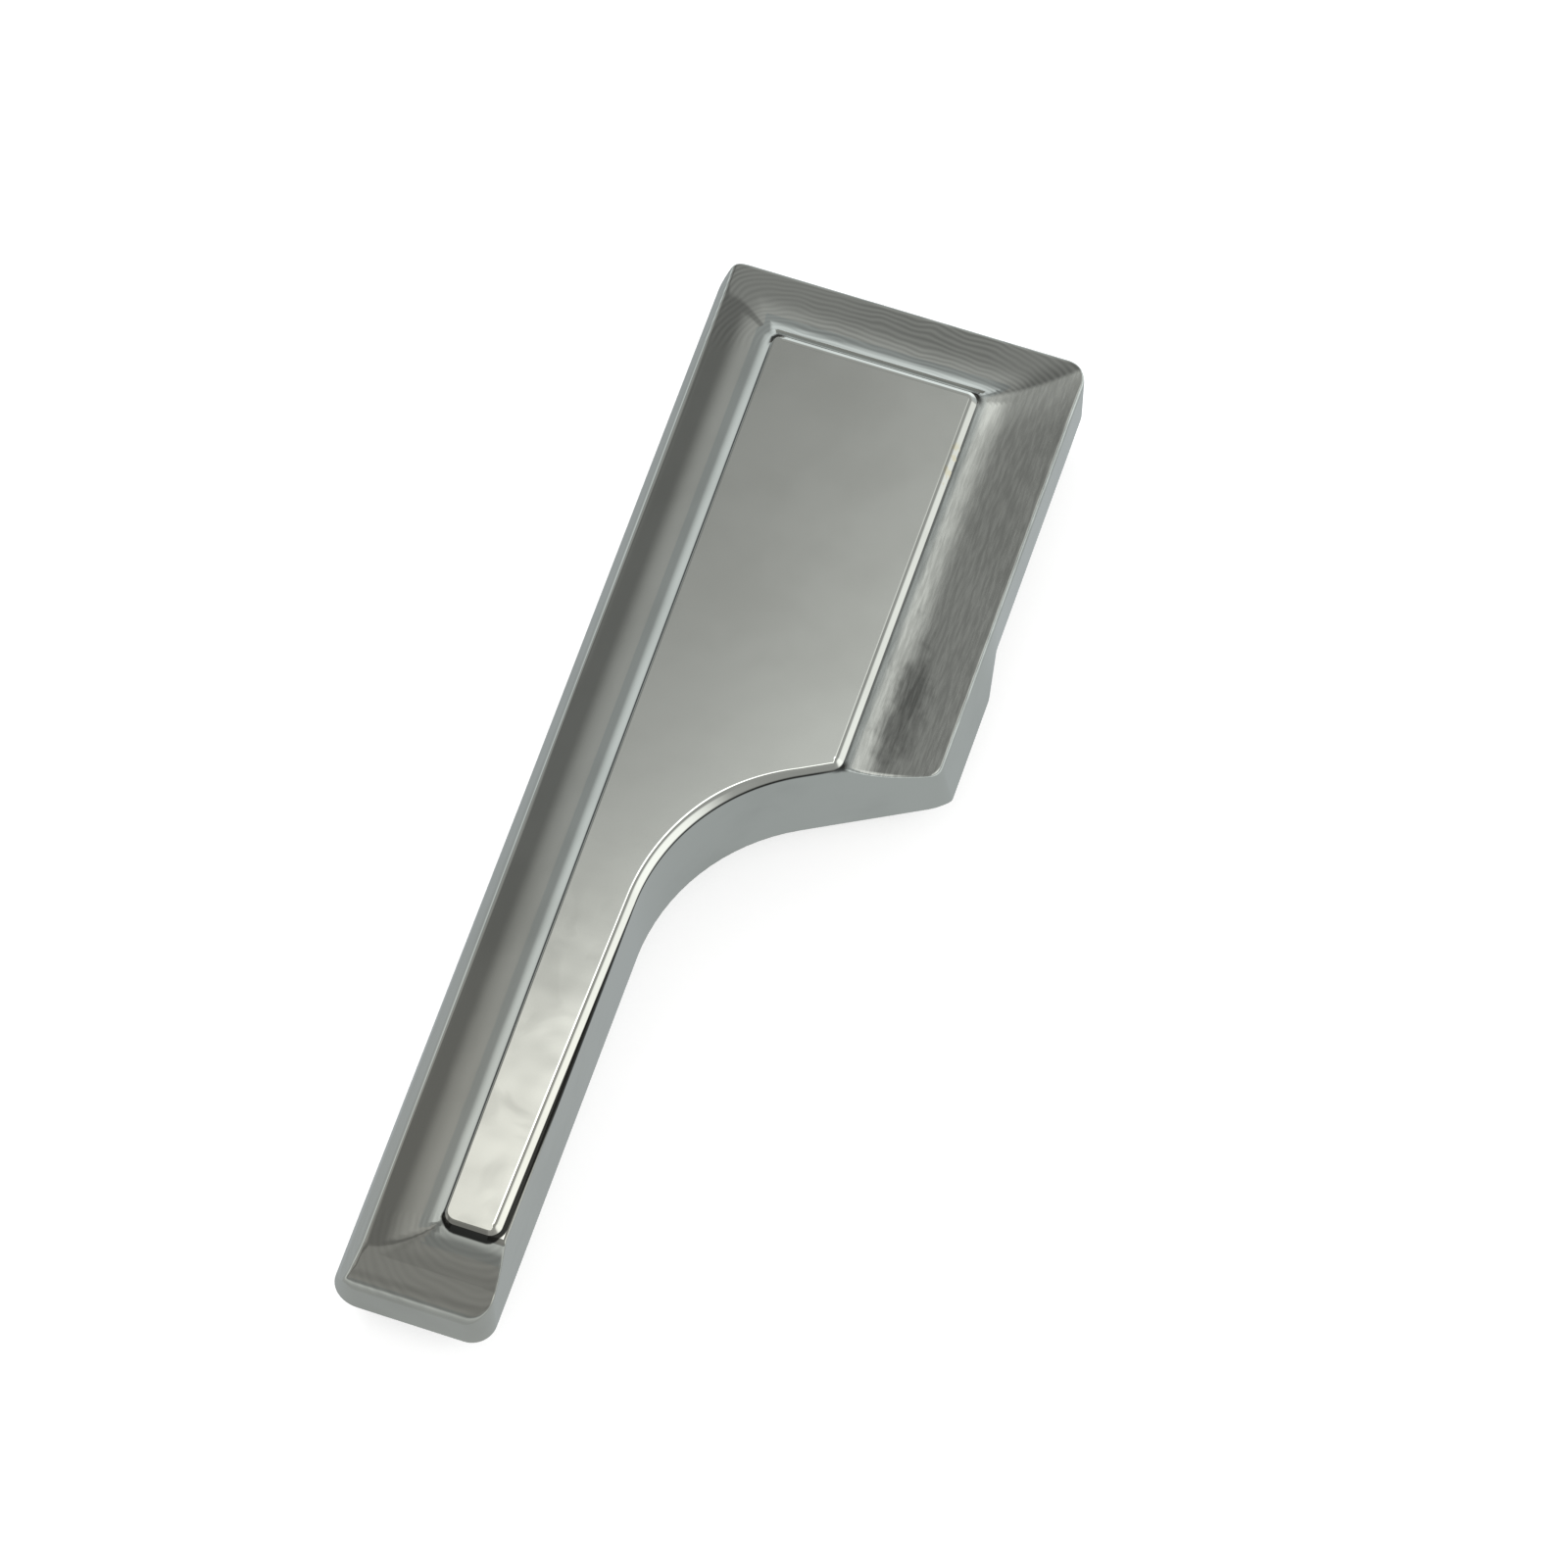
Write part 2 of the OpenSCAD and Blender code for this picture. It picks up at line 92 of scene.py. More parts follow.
right = Vector((cos(TURN), sin(TURN), 0))
up = Vector((-sin(TURN) * cos(TILT), cos(TURN) * cos(TILT), sin(TILT)))
back = right.cross(up)
metres_per_px = DISTANCE / FOCAL_PX
eye = AIM + back * DISTANCE
eye += right * (FRAME_PX / 2 - AIM_PX[0]) * metres_per_px
eye -= up * (FRAME_PX / 2 - AIM_PX[1]) * metres_per_px

camera = bpy.data.objects.new("camera", bpy.data.cameras.new("camera"))
bpy.context.scene.collection.objects.link(camera)
turn = Matrix((right, up, back)).transposed().to_4x4()
camera.matrix_world = Matrix.Translation(eye) @ turn
camera.data.sensor_width = SENSOR
camera.data.lens = FOCAL_PX * SENSOR / FRAME_PX
camera.data.clip_start = 0.01
bpy.context.scene.camera = camera
print("lens", round(camera.data.lens, 1), "mm, camera at", [round(v, 3) for v in eye])

# %% [markdown]
# ## Helpers for shader trees
# A material is a small graph. A few short helpers make a node with its values already
# set, and join sockets, so that each material below reads like a recipe.

# %% Node helpers
def node(tree, kind, values=None, **settings):
    made = tree.nodes.new(kind)
    for name, value in settings.items():
        setattr(made, name, value)
    for socket, value in (values or {}).items():
        if isinstance(value, bpy.types.NodeSocket):
            tree.links.new(value, made.inputs[socket])
        else:
            made.inputs[socket].default_value = value
    return made


def maths(tree, operation, a, b=0.0, c=0.0, clamp=False):
    made = node(tree, "ShaderNodeMath", {0: a, 1: b, 2: c}, operation=operation)
    made.use_clamp = clamp
    return made.outputs[0]


def times(tree, a, b):
    return maths(tree, "MULTIPLY", a, b)


def one_minus(tree, value):
    return maths(tree, "SUBTRACT", 1.0, value)


def vector_maths(tree, operation, a, b=None):
    made = node(tree, "ShaderNodeVectorMath", {0: a}, operation=operation)
    if b is not None:
        made.inputs[1].default_value = b
    return made.outputs["Value" if operation in ("LENGTH", "DISTANCE") else "Vector"]


# %% [markdown]
# ## Fades, colours and noise
# A ramp fades smoothly from one value to another as its input crosses a span. Most marks
# on this handle are products of such ramps, each of which says where a mark may be.

# %% Ramp, colour and noise helpers
def ramp(tree, value, low, high, out_low=0.0, out_high=1.0):
    made = node(tree, "ShaderNodeMapRange", {"Value": value, "From Min": low, "From Max": high,
                                             "To Min": out_low, "To Max": out_high})
    made.interpolation_type = "SMOOTHSTEP"
    return made.outputs["Result"]


def ramp_mm(tree, value, span, out_low=0.0, out_high=1.0):
    return ramp(tree, value, span[0] * MM, span[1] * MM, out_low, out_high)


def mix_colour(tree, factor, a, b, blend="MIX"):
    made = node(tree, "ShaderNodeMix", data_type="RGBA", blend_type=blend)
    for socket, value in ((made.inputs[0], factor), (made.inputs[6], a), (made.inputs[7], b)):
        if isinstance(value, bpy.types.NodeSocket):
            tree.links.new(value, socket)
        else:
            socket.default_value = value
    return made.outputs[2]


def noise(tree, place, scale, detail, **more):
    values = {"Vector": place, "Scale": scale, "Detail": detail, **more}
    return node(tree, "ShaderNodeTexNoise", values).outputs["Fac"]


def grey(value):
    return (value, value, value, 1.0)


def by_ray(tree, seen, mirrored, otherwise):
    """One shader for the camera, one for reflections and one for all other light."""
    path = node(tree, "ShaderNodeLightPath").outputs
    inner = node(tree, "ShaderNodeMixShader",
                 {0: path["Is Glossy Ray"], 1: otherwise, 2: mirrored})
    return node(tree, "ShaderNodeMixShader",
                {0: path["Is Camera Ray"], 1: inner.outputs[0], 2: seen}).outputs[0]


# %% [markdown]
# ## Studio
# Chrome has hardly any colour of its own, so the room is half of its look. The walls are
# mid grey, brighter on the right, with a darker patch on the left like an open door. The
# room is a rule on the direction of a ray, so it needs no picture.

# %% Walls of the room
ROOM_HIGH, ROOM_LOW, WALL_RISE = 0.295, 0.43, (0.05, 0.45)
RIGHT_WALL, RIGHT_START = 0.62, (0.80, 0.97)
DOOR_DARK, DOOR_NEAR, DOOR_FAR = 0.38, (-0.70, -0.58), (-0.89, -0.80)
world = bpy.data.worlds.new("studio")
bpy.context.scene.world = world
world.use_nodes = True
tree = world.node_tree
tree.nodes.clear()
ray = node(tree, "ShaderNodeTexCoord").outputs["Generated"]
side, ahead, height = node(tree, "ShaderNodeSeparateXYZ", {0: ray}).outputs

room = ramp(tree, height, *WALL_RISE, ROOM_LOW, ROOM_HIGH)
room = maths(tree, "ADD", room, ramp(tree, side, *RIGHT_START, 0.0, RIGHT_WALL))
door = times(tree, ramp(tree, side, *DOOR_NEAR, 1.0, 0.0), ramp(tree, side, *DOOR_FAR))
room = times(tree, room, maths(tree, "MULTIPLY_ADD", door, -DOOR_DARK, 1.0))
print("walls of the room:", len(tree.nodes), "nodes")

# %% [markdown]
# ## Softbox
# The softbox hangs towards the far side. It fades from its bright edge, first fast and
# then as a wide haze, which gives the panel its gradient. Low down behind the camera the
# room is darker, as if the photographer stood there.

# %% Softbox
BOX_EDGE, BOX_LIGHT, BOX_FALL = 0.39, 0.74, 0.022
HAZE_LIGHT, HAZE_FALL, LOWEST = 0.30, 0.15, 0.05
BOX_NEAR, BOX_LEFT, BOX_SIDES = (0.10, 0.32), 0.13, (0.20, 0.42)
GAIN_SPAN, GAIN_LEFT, GAIN_RIGHT = (-0.19, -0.07), 0.85, 2.15
NEAR_DARK, DARK_HEIGHT, DARK_AHEAD = 0.30, (0.20, 0.60), (-0.90, -0.45)
lean = maths(tree, "DIVIDE", ahead, maths(tree, "MAXIMUM", height, LOWEST))
past = maths(tree, "MAXIMUM", maths(tree, "SUBTRACT", lean, BOX_EDGE), 0.0)
core = maths(tree, "EXPONENT", maths(tree, "DIVIDE", past, -BOX_FALL))
haze = maths(tree, "EXPONENT", maths(tree, "DIVIDE", past, -HAZE_FALL))
softbox = maths(tree, "MULTIPLY_ADD", haze, HAZE_LIGHT, times(tree, core, BOX_LIGHT))
from_middle = maths(tree, "ABSOLUTE", maths(tree, "ADD", side, BOX_LEFT))
softbox = times(tree, softbox, ramp(tree, lean, *BOX_NEAR))
softbox = times(tree, softbox, ramp(tree, from_middle, *BOX_SIDES, 1.0, 0.0))
softbox = times(tree, softbox, ramp(tree, side, *GAIN_SPAN, GAIN_LEFT, GAIN_RIGHT))
dark = times(tree, ramp(tree, height, *DARK_HEIGHT, 1.0, 0.0),
             ramp(tree, ahead, *DARK_AHEAD, 1.0, 0.0))
lit = maths(tree, "ADD", softbox, room)
lit = times(tree, lit, maths(tree, "MULTIPLY_ADD", dark, -NEAR_DARK, 1.0))

# %% [markdown]
# ## What each kind of ray sees
# Reflections see the room above. The camera sees plain white behind the handle, and all
# other light comes evenly from everywhere, so that only the chrome takes the stripes.

# %% What each kind of ray sees of the room
ROOM_TINT, FILL_LIGHT = (0.97, 1.0, 0.99, 1.0), 0.55
reflected = node(tree, "ShaderNodeBackground", {"Strength": lit, "Color": ROOM_TINT})
plain = node(tree, "ShaderNodeBackground", {"Strength": FILL_LIGHT, "Color": grey(1.0)})
white = node(tree, "ShaderNodeBackground", {"Strength": 1.0, "Color": grey(1.0)})
shown = by_ray(tree, white.outputs[0], reflected.outputs[0], plain.outputs[0])
node(tree, "ShaderNodeOutputWorld", {"Surface": shown})
print("studio:", len(tree.nodes), "nodes")

# %% [markdown]
# ## Floor
# The floor is a wide pale sheet. It lies a little below the mounting plane, because the
# head's far end swings down there when the lever is pulled.

# %% Floor sheet
FLOOR_GAP, FLOOR_HALF = 5.4 * MM, 3.0
mesh = bpy.data.meshes.new("floor")
floor_z = cad_box[0][2] - FLOOR_GAP
corners = [(x * FLOOR_HALF, y * FLOOR_HALF, floor_z)
           for x, y in ((-1, -1), (1, -1), (1, 1), (-1, 1))]
mesh.from_pydata(corners, [], [(0, 1, 2, 3)])
floor = bpy.data.objects.new("floor", mesh)
bpy.context.scene.collection.objects.link(floor)
print("floor at", round(floor_z / MM, 1), "mm")

# %% [markdown]
# ## Paper of the floor
# Some of the paper's colour is written as light for the camera, so it stays near white
# and still takes a faint shadow. In reflections it glows with a painted shadow under the
# handle and is dimmer far from it, as a real table would look. The distance from the
# handle's plan box decides.

# %% Floor paper
PAPER, PAPER_GLOW, PAPER_TINT = 0.80, 0.58, (0.91, 0.98, 1.0, 1.0)
HANDLE_HALF = (24 * MM, 70 * MM, 0)
SHADED_FLOOR, LIT_FLOOR, LIT_SPAN = 0.46, 0.92, (12, 38)
FAR_SHARE, FAR_SPAN = 0.44, (34, 100)
FRONT_SHARE, FRONT_SPAN = 0.72, (-105, -74)
LEFT_SHARE, RIGHT_SHARE, SIDE_SPAN = 0.94, 1.12, (-24, 26)
paper = bpy.data.materials.new("pale_floor")
paper.use_nodes = True
tree = paper.node_tree
tree.nodes.clear()
sheet = node(tree, "ShaderNodeBsdfDiffuse", {"Color": grey(PAPER)}).outputs[0]
glow = node(tree, "ShaderNodeEmission", {"Color": grey(1.0), "Strength": PAPER_GLOW})
both = node(tree, "ShaderNodeAddShader", {0: sheet, 1: glow.outputs[0]})

place = node(tree, "ShaderNodeTexCoord").outputs["Object"]
beside = vector_maths(tree, "SUBTRACT", vector_maths(tree, "ABSOLUTE", place), HANDLE_HALF)
gap = vector_maths(tree, "LENGTH", vector_maths(tree, "MAXIMUM", beside, (0, 0, 0)))
sideways, front, _ = node(tree, "ShaderNodeSeparateXYZ", {0: place}).outputs
# painted shadow near the handle and painted light a little way off, seen only in reflections
painted_floor_light_and_shade = times(tree, ramp_mm(tree, gap, LIT_SPAN, SHADED_FLOOR, LIT_FLOOR),
                 ramp_mm(tree, gap, FAR_SPAN, 1.0, FAR_SHARE))
painted_floor_light_and_shade = times(tree, painted_floor_light_and_shade, ramp_mm(tree, front, FRONT_SPAN, FRONT_SHARE, 1.0))
painted_floor_light_and_shade = times(tree, painted_floor_light_and_shade, ramp_mm(tree, sideways, SIDE_SPAN, LEFT_SHARE, RIGHT_SHARE))
mirrored = node(tree, "ShaderNodeEmission", {"Color": PAPER_TINT, "Strength": painted_floor_light_and_shade})
shown = by_ray(tree, both.outputs[0], mirrored.outputs[0], sheet)
node(tree, "ShaderNodeOutputMaterial", {"Surface": shown})
mesh.materials.append(paper)
print("paper:", len(tree.nodes), "nodes")


# %% [markdown]
# ## Lamps
# Two soft discs light the floor, the nylon and the rubber. Chrome doesn't mirror them,
# because their round shapes would show on it as spots that the photograph hasn't got.

# %% Lamps
def lamp(name, place, size, watts):
    data = bpy.data.lights.new(name, "AREA")
    data.shape = "DISK"
    data.size = size
    data.energy = watts
    made = bpy.data.objects.new(name, data)
    made.location = place
    made.rotation_euler = (-Vector(place)).to_track_quat("-Z", "Y").to_euler()
    made.visible_glossy = False
    bpy.context.scene.collection.objects.link(made)


lamp("key", (-0.5, 0.7, 1.1), size=0.7, watts=6.0)
lamp("fill", (0.8, -0.3, 1.0), size=0.9, watts=3.5)
bpy.context.scene.view_settings.view_transform = "Standard"
print("lamps:", len(bpy.data.lights))

# %% [markdown]
# ## Fine marks
# Every finish here carries the same two kinds of marks: hairlines that run one way, and
# faint blotches where polish, plating or moulding is uneven. One node group makes both as
# masks, and each material sets its own direction, size and strength.

# %% Marks group
def marks_group():
    group = bpy.data.node_groups.new("fine_marks", "ShaderNodeTree")
    face = group.interface
    for name, value in (("Along X", 40.0), ("Along Y", 1500.0), ("Along Z", 40.0),
                        ("Blotch", 90.0)):
        made = face.new_socket(name, in_out="INPUT", socket_type="NodeSocketFloat")
        made.default_value = value
    face.new_socket("Hairlines", in_out="OUTPUT", socket_type="NodeSocketFloat")
    face.new_socket("Blotches", in_out="OUTPUT", socket_type="NodeSocketFloat")
    start = node(group, "NodeGroupInput").outputs
    place = node(group, "ShaderNodeTexCoord").outputs["Object"]
    scale = node(group, "ShaderNodeCombineXYZ", {0: start[0], 1: start[1], 2: start[2]})
    stretched = node(group, "ShaderNodeVectorMath", {0: place, 1: scale.outputs[0]},
                     operation="MULTIPLY")
    lines = noise(group, stretched.outputs[0], 1.0, 4.0, Roughness=0.6)
    spots = noise(group, place, start[3], 3.0, Roughness=0.55)
    node(group, "NodeGroupOutput", {0: lines, 1: spots})
    return group


fine_marks = marks_group()
print("fine marks:", len(fine_marks.nodes), "nodes")


# %% [markdown]
# ## Finishes
# Each material below starts with the same two steps: a shader with its constants on its
# own sockets, and the marks in that material's direction and size.

# %% Marks and finishes
def marks(tree, along, blotch):
    """Hairlines with this many waves a metre along x, y and z, and blotches."""
    made = node(tree, "ShaderNodeGroup")
    made.node_tree = fine_marks
    for i, value in enumerate((*along, blotch)):
        made.inputs[i].default_value = value
    return made.outputs


def finish_of(name, **fixed):
    made = bpy.data.materials.new(name)
    made.use_nodes = True
    tree = made.node_tree
    shader = tree.nodes["Principled BSDF"]
    for socket, value in fixed.items():
        shader.inputs[socket.replace("_", " ")].default_value = value
    return made, tree, shader


# %% [markdown]
# ## Chrome of the casting
# Chrome plate is a mirror with a slight grey, and its polish isn't perfect. The marks need
# to know where they are: on which bevel, above or below the mitre, how near the tip. The
# attribute from_crease gives the distance to the panel's crease in millimetres, and is
# negative on the panel itself, down to -1 on its flat.

# %% Chrome: places on the face
MITRE_TOP, MITRE_RIGHT, MITRE_SLOPE, MITRE_BLUR = 70 * MM, 23.2 * MM, 0.897, (-0.5, 0.5)
RIGHT_BEVEL, TOP_BEVEL, TIP_BEVEL, ARM_RUN = (11.5, 13.5), (56, 60), (-60.5, -62.6), (0, -55)
BEVEL_START, WALL_END = (0.02, 0.10), (0.20, 0.45)
chrome, tree, shader = finish_of("polished_chrome", Metallic=1.0)
hair, blotch = marks(tree, (60.0, 900.0, 60.0), 70.0)
place = node(tree, "ShaderNodeTexCoord").outputs["Object"]
across, along_y, _ = node(tree, "ShaderNodeSeparateXYZ", {0: place}).outputs
crease = node(tree, "ShaderNodeAttribute", attribute_name="from_crease").outputs["Fac"]
true_normal = node(tree, "ShaderNodeNewGeometry").outputs["True Normal"]
way_x, way_y, way_z = node(tree, "ShaderNodeSeparateXYZ", {0: true_normal}).outputs
on_bevel = times(tree, ramp(tree, crease, *BEVEL_START), ramp(tree, way_z, *WALL_END))
# the mitre between the top and the right bevel runs from corner to corner
mitre = times(tree, maths(tree, "SUBTRACT", MITRE_TOP, along_y), MITRE_SLOPE)
mitre = maths(tree, "SUBTRACT", mitre, maths(tree, "SUBTRACT", MITRE_RIGHT, across))
above = ramp_mm(tree, mitre, MITRE_BLUR, 1.0, 0.0)
at_right = times(tree, ramp_mm(tree, across, RIGHT_BEVEL), one_minus(tree, above))
on_right = times(tree, at_right, on_bevel)
at_top = times(tree, ramp_mm(tree, along_y, TOP_BEVEL), above)
at_tip = ramp_mm(tree, along_y, TIP_BEVEL)
toward_tip = ramp_mm(tree, along_y, ARM_RUN)

# %% [markdown]
# ## Chrome: lines of the polishing wheel
# The top and the tip bevel keep wavy lines that run beside the panel. A sine of the
# distance from the crease gives them, and noise bends them so that none is straight.

# %% Chrome: wheel lines
WAVELENGTH, WOBBLE, WOBBLE_SCALE = 0.80, 3.6, 110.0
LINE_PATCHES, LINE_FAINT, LINE_STRONG, TIP_CALMER = (0.35, 0.62), 0.05, 0.16, 0.6
wave = maths(tree, "MULTIPLY_ADD", noise(tree, place, WOBBLE_SCALE, 2.0), WOBBLE, crease)
wave = maths(tree, "SINE", times(tree, wave, 2 * pi / WAVELENGTH))
ends = times(tree, maths(tree, "MAXIMUM", at_top, at_tip), on_bevel)
patchy = times(tree, ramp(tree, blotch, *LINE_PATCHES, LINE_FAINT, LINE_STRONG),
               maths(tree, "MULTIPLY_ADD", at_tip, -TIP_CALMER, 1.0))
wheel = times(tree, wave, times(tree, ends, patchy))

# %% [markdown]
# ## Chrome: scuffs, smudge and painted light at the mitre
# Satin scuffs run along the right bevel, with a darker smudge near its lower end. The same
# bevel gets a painted highlight just under the mitre, and the top bevel a painted shade just
# above it.

# %% Chrome: right bevel
SCUFF_SPAN, SCUFF_DARK, SCUFF_LIGHT = (0.32, 0.72), -0.15, 0.17
SMUDGE_AT = (16.6 * MM, 18.5 * MM, 12.0 * MM)
PER_SMUDGE = (1 / (3.4 * MM), 1 / (11.0 * MM), 0.0)
SMUDGE_RAGGED, SMUDGE_SHIFT, SMUDGE_SPAN, SMUDGE_DARK = 2.4, 1.15, (0.15, 1.0), 0.40
MITRE_HIGHLIGHT, LIGHT_SPAN = 0.45, (0.3, 8.0)
MITRE_SHADE, DARK_SPAN = 0.30, (-0.3, -4.0)
streak, cloud = marks(tree, (3200.0, 330.0, 1600.0), 260.0)
scuff = times(tree, ramp(tree, streak, *SCUFF_SPAN, SCUFF_DARK, SCUFF_LIGHT), on_right)
far = vector_maths(tree, "SUBTRACT", place, SMUDGE_AT)
far = vector_maths(tree, "LENGTH", vector_maths(tree, "MULTIPLY", far, PER_SMUDGE))
far = maths(tree, "SUBTRACT", far, SMUDGE_SHIFT)
far = maths(tree, "MULTIPLY_ADD", cloud, SMUDGE_RAGGED, far)
smudge = times(tree, ramp(tree, far, *SMUDGE_SPAN, SMUDGE_DARK, 0.0), on_right)
# painted highlight on the right bevel under the mitre, painted shade on the top bevel above it
painted_highlight_under_mitre = times(tree, ramp_mm(tree, mitre, LIGHT_SPAN, MITRE_HIGHLIGHT, 0.0), on_right)
over = times(tree, ramp_mm(tree, mitre, DARK_SPAN, MITRE_SHADE, 0.0),
             times(tree, at_top, on_bevel))
painted_mitre_light = maths(tree, "SUBTRACT", painted_highlight_under_mitre, over)

# %% [markdown]
# ## Chrome: painted shade in the crease
# A thin dark line of painted shade runs in the crease round the panel. It is widest under
# the panel's tip and beside the arm, and three corners get a small spot of it.

# %% Chrome: crease
LINE_WIDTH, TIP_WIDER, ARM_WIDER, LINE_BLUR = 0.27, 0.34, 0.35, 0.12
LINE_START, SPOT_START = (-0.10, -0.02), (-0.12, -0.02)
ARM_RIGHT, ARM_BELOW = (-8, -6), (-18, -30)
SHADED_CORNERS, SPOT_Z = ((12.8, 58.4), (-13.2, 58.4), (12.8, 6.3)), 16
SPOT_SPAN, SPOT_DARK, SPOT_REACH = (0.6, 1.9), 0.85, (1.1, 0.3)
SHADE_FADE_RIGHT, SHADE_MOST, SHADE_LESS = (10, 12.6), 0.93, 0.60
SHADE_FADE_TOP, SHADE_LEAST = (55, 58.5), 0.35
at_arm = times(tree, ramp_mm(tree, across, ARM_RIGHT), ramp_mm(tree, along_y, ARM_BELOW))
at_arm = times(tree, at_arm, one_minus(tree, at_tip))
width = maths(tree, "MULTIPLY_ADD", at_tip, TIP_WIDER, LINE_WIDTH)
width = maths(tree, "MULTIPLY_ADD", at_arm, ARM_WIDER, width)
line = maths(tree, "DIVIDE", maths(tree, "SUBTRACT", width, crease), LINE_BLUR, clamp=True)
line = times(tree, line, ramp(tree, crease, *LINE_START))
# the painted shade is fainter at the right and at the top
crease_shade_share = ramp_mm(tree, across, SHADE_FADE_RIGHT, SHADE_MOST, SHADE_LESS)
crease_shade_share = times(tree, crease_shade_share, ramp_mm(tree, along_y, SHADE_FADE_TOP, 1.0, SHADE_LEAST))
# painted shade along the crease
painted_crease_shade = times(tree, line, crease_shade_share)
# small spots of painted shade in three corners
for corner_x, corner_y in SHADED_CORNERS:
    corner_shade = vector_maths(tree, "DISTANCE", place, (corner_x * MM, corner_y * MM, SPOT_Z * MM))
    corner_shade = ramp_mm(tree, corner_shade, SPOT_SPAN, SPOT_DARK, 0.0)
    corner_shade = times(tree, corner_shade, ramp(tree, crease, *SPOT_REACH))
    painted_crease_shade = maths(tree, "MAXIMUM", painted_crease_shade, corner_shade)
painted_crease_shade = times(tree, painted_crease_shade, ramp(tree, crease, *SPOT_START))

# %% [markdown]
# ## Chrome: shades
# All marks so far are one number that darkens or brightens the metal. The bank of the
# panel that faces right, the notch or the top gets a painted highlight, and the flat of
# the arm has cloudy patches and a warmer tone, where it is gripped.

# %% Chrome: shades
CLEAN, DULL, DULL_SPAN = (0.622, 0.624, 0.586, 1.0), (0.564, 0.566, 0.530, 1.0), (0.40, 0.72)
WARM_TIP = (1.03, 1.0, 0.97, 1.0)
BANK_HIGHLIGHT, BANK_INNER, BANK_OUTER, BANK_TURN = 0.55, (-1.0, -0.90), (-0.02, -0.08), (0.02, 0.15)
CLOUD_DARK, CLOUD_SCALE, CLOUD_SPAN, FLAT_START = 0.14, 130.0, (0.45, 0.62), (-0.9, -1.0)
tint = mix_colour(tree, ramp(tree, blotch, *DULL_SPAN), CLEAN, DULL)
tint = mix_colour(tree, toward_tip, tint, WARM_TIP, "MULTIPLY")
shade = maths(tree, "ADD", maths(tree, "ADD", wheel, scuff), one_minus(tree, smudge))
# add the painted highlight and shade at the mitre
shade = maths(tree, "ADD", shade, painted_mitre_light)
# the painted shade in the crease darkens the metal
shade = times(tree, shade, one_minus(tree, painted_crease_shade))
# painted highlight on the bank that faces right, the notch or the top
bank = times(tree, ramp(tree, crease, *BANK_INNER), ramp(tree, crease, *BANK_OUTER))
bank = times(tree, bank, ramp(tree, maths(tree, "MAXIMUM", way_x, way_y), *BANK_TURN))
shade = maths(tree, "MULTIPLY_ADD", bank, BANK_HIGHLIGHT, shade)
clouds = noise(tree, place, CLOUD_SCALE, 2.0, Distortion=1.2)
clouds = times(tree, ramp(tree, clouds, *CLOUD_SPAN, 0.0, CLOUD_DARK),
               ramp(tree, crease, *FLAT_START))
shade = times(tree, shade, one_minus(tree, times(tree, clouds, toward_tip)))
shades = node(tree, "ShaderNodeCombineColor", {0: shade, 1: shade, 2: shade})
tint = mix_colour(tree, 1.0, tint, shades.outputs[0], "MULTIPLY")

# %% [markdown]
# ## Chrome: chips
# A few chips in the plating show a pale yellow metal, on the upper part of the right bank.
# Noise picks the flecks, and three fades keep them in their place.

# %% Chrome: chips
CHIP_COLOUR, CHIP_RIGHT = (0.92, 0.87, 0.70, 1.0), (11.0, 11.6)
CHIP_LOWER, CHIP_UPPER = (44.5, 45.5), (51.5, 50.5)
CHIP_SPAN, CHIP_INNER, CHIP_OUTER = (0.50, 0.58), (-1.0, -0.6), (0.02, -0.05)
chips = ramp(tree, noise(tree, place, 900.0, 2.0), *CHIP_SPAN)
chips = times(tree, chips, ramp(tree, crease, *CHIP_INNER))
chips = times(tree, chips, ramp(tree, crease, *CHIP_OUTER))
chips = times(tree, chips, ramp_mm(tree, across, CHIP_RIGHT))
chips = times(tree, chips, ramp_mm(tree, along_y, CHIP_LOWER))
chips = times(tree, chips, ramp_mm(tree, along_y, CHIP_UPPER))
tint = mix_colour(tree, chips, tint, CHIP_COLOUR)
tree.links.new(tint, shader.inputs["Base Color"])

# %% [markdown]
# ## Chrome: gloss and relief
# The finish is cloudier towards the tip, where fingers rub, satin on the right bevel and
# dull along the painted shade in the crease. The relief is very small: hairlines, and a
# slight waviness of the arm that breaks up its bright reflection.

# %% Chrome: gloss and relief
ROUGH_LOW, ROUGH_HIGH, ROUGH_SPAN = 0.045, 0.09, (0.35, 0.75)
TIP_ROUGHER, RIGHT_ROUGHER, CREASE_SHADE_ROUGHER = 0.03, 0.10, 0.25
WAVY_SCALE, WAVY_SPAN, WAVY_HEAD = 150.0, (-12, -42), 0.1
HAIR_SHARE, RELIEF = 0.0045, 0.045 * MM
rough = ramp(tree, blotch, *ROUGH_SPAN, ROUGH_LOW, ROUGH_HIGH)
rough = maths(tree, "MULTIPLY_ADD", toward_tip, TIP_ROUGHER, rough)
rough = maths(tree, "MULTIPLY_ADD", on_right, RIGHT_ROUGHER, rough)
# rougher where the crease's shade is painted
rough = maths(tree, "MULTIPLY_ADD", painted_crease_shade, CREASE_SHADE_ROUGHER, rough)
tree.links.new(rough, shader.inputs["Roughness"])
wavy = times(tree, noise(tree, place, WAVY_SCALE, 1.0),
             ramp_mm(tree, along_y, WAVY_SPAN, WAVY_HEAD, 1.0))
relief = maths(tree, "MULTIPLY_ADD", hair, HAIR_SHARE, wavy)
bump = node(tree, "ShaderNodeBump", {"Strength": 1.0, "Distance": RELIEF, "Height": relief})
tree.links.new(bump.outputs[0], shader.inputs["Normal"])
print("chrome:", len(tree.nodes), "nodes")


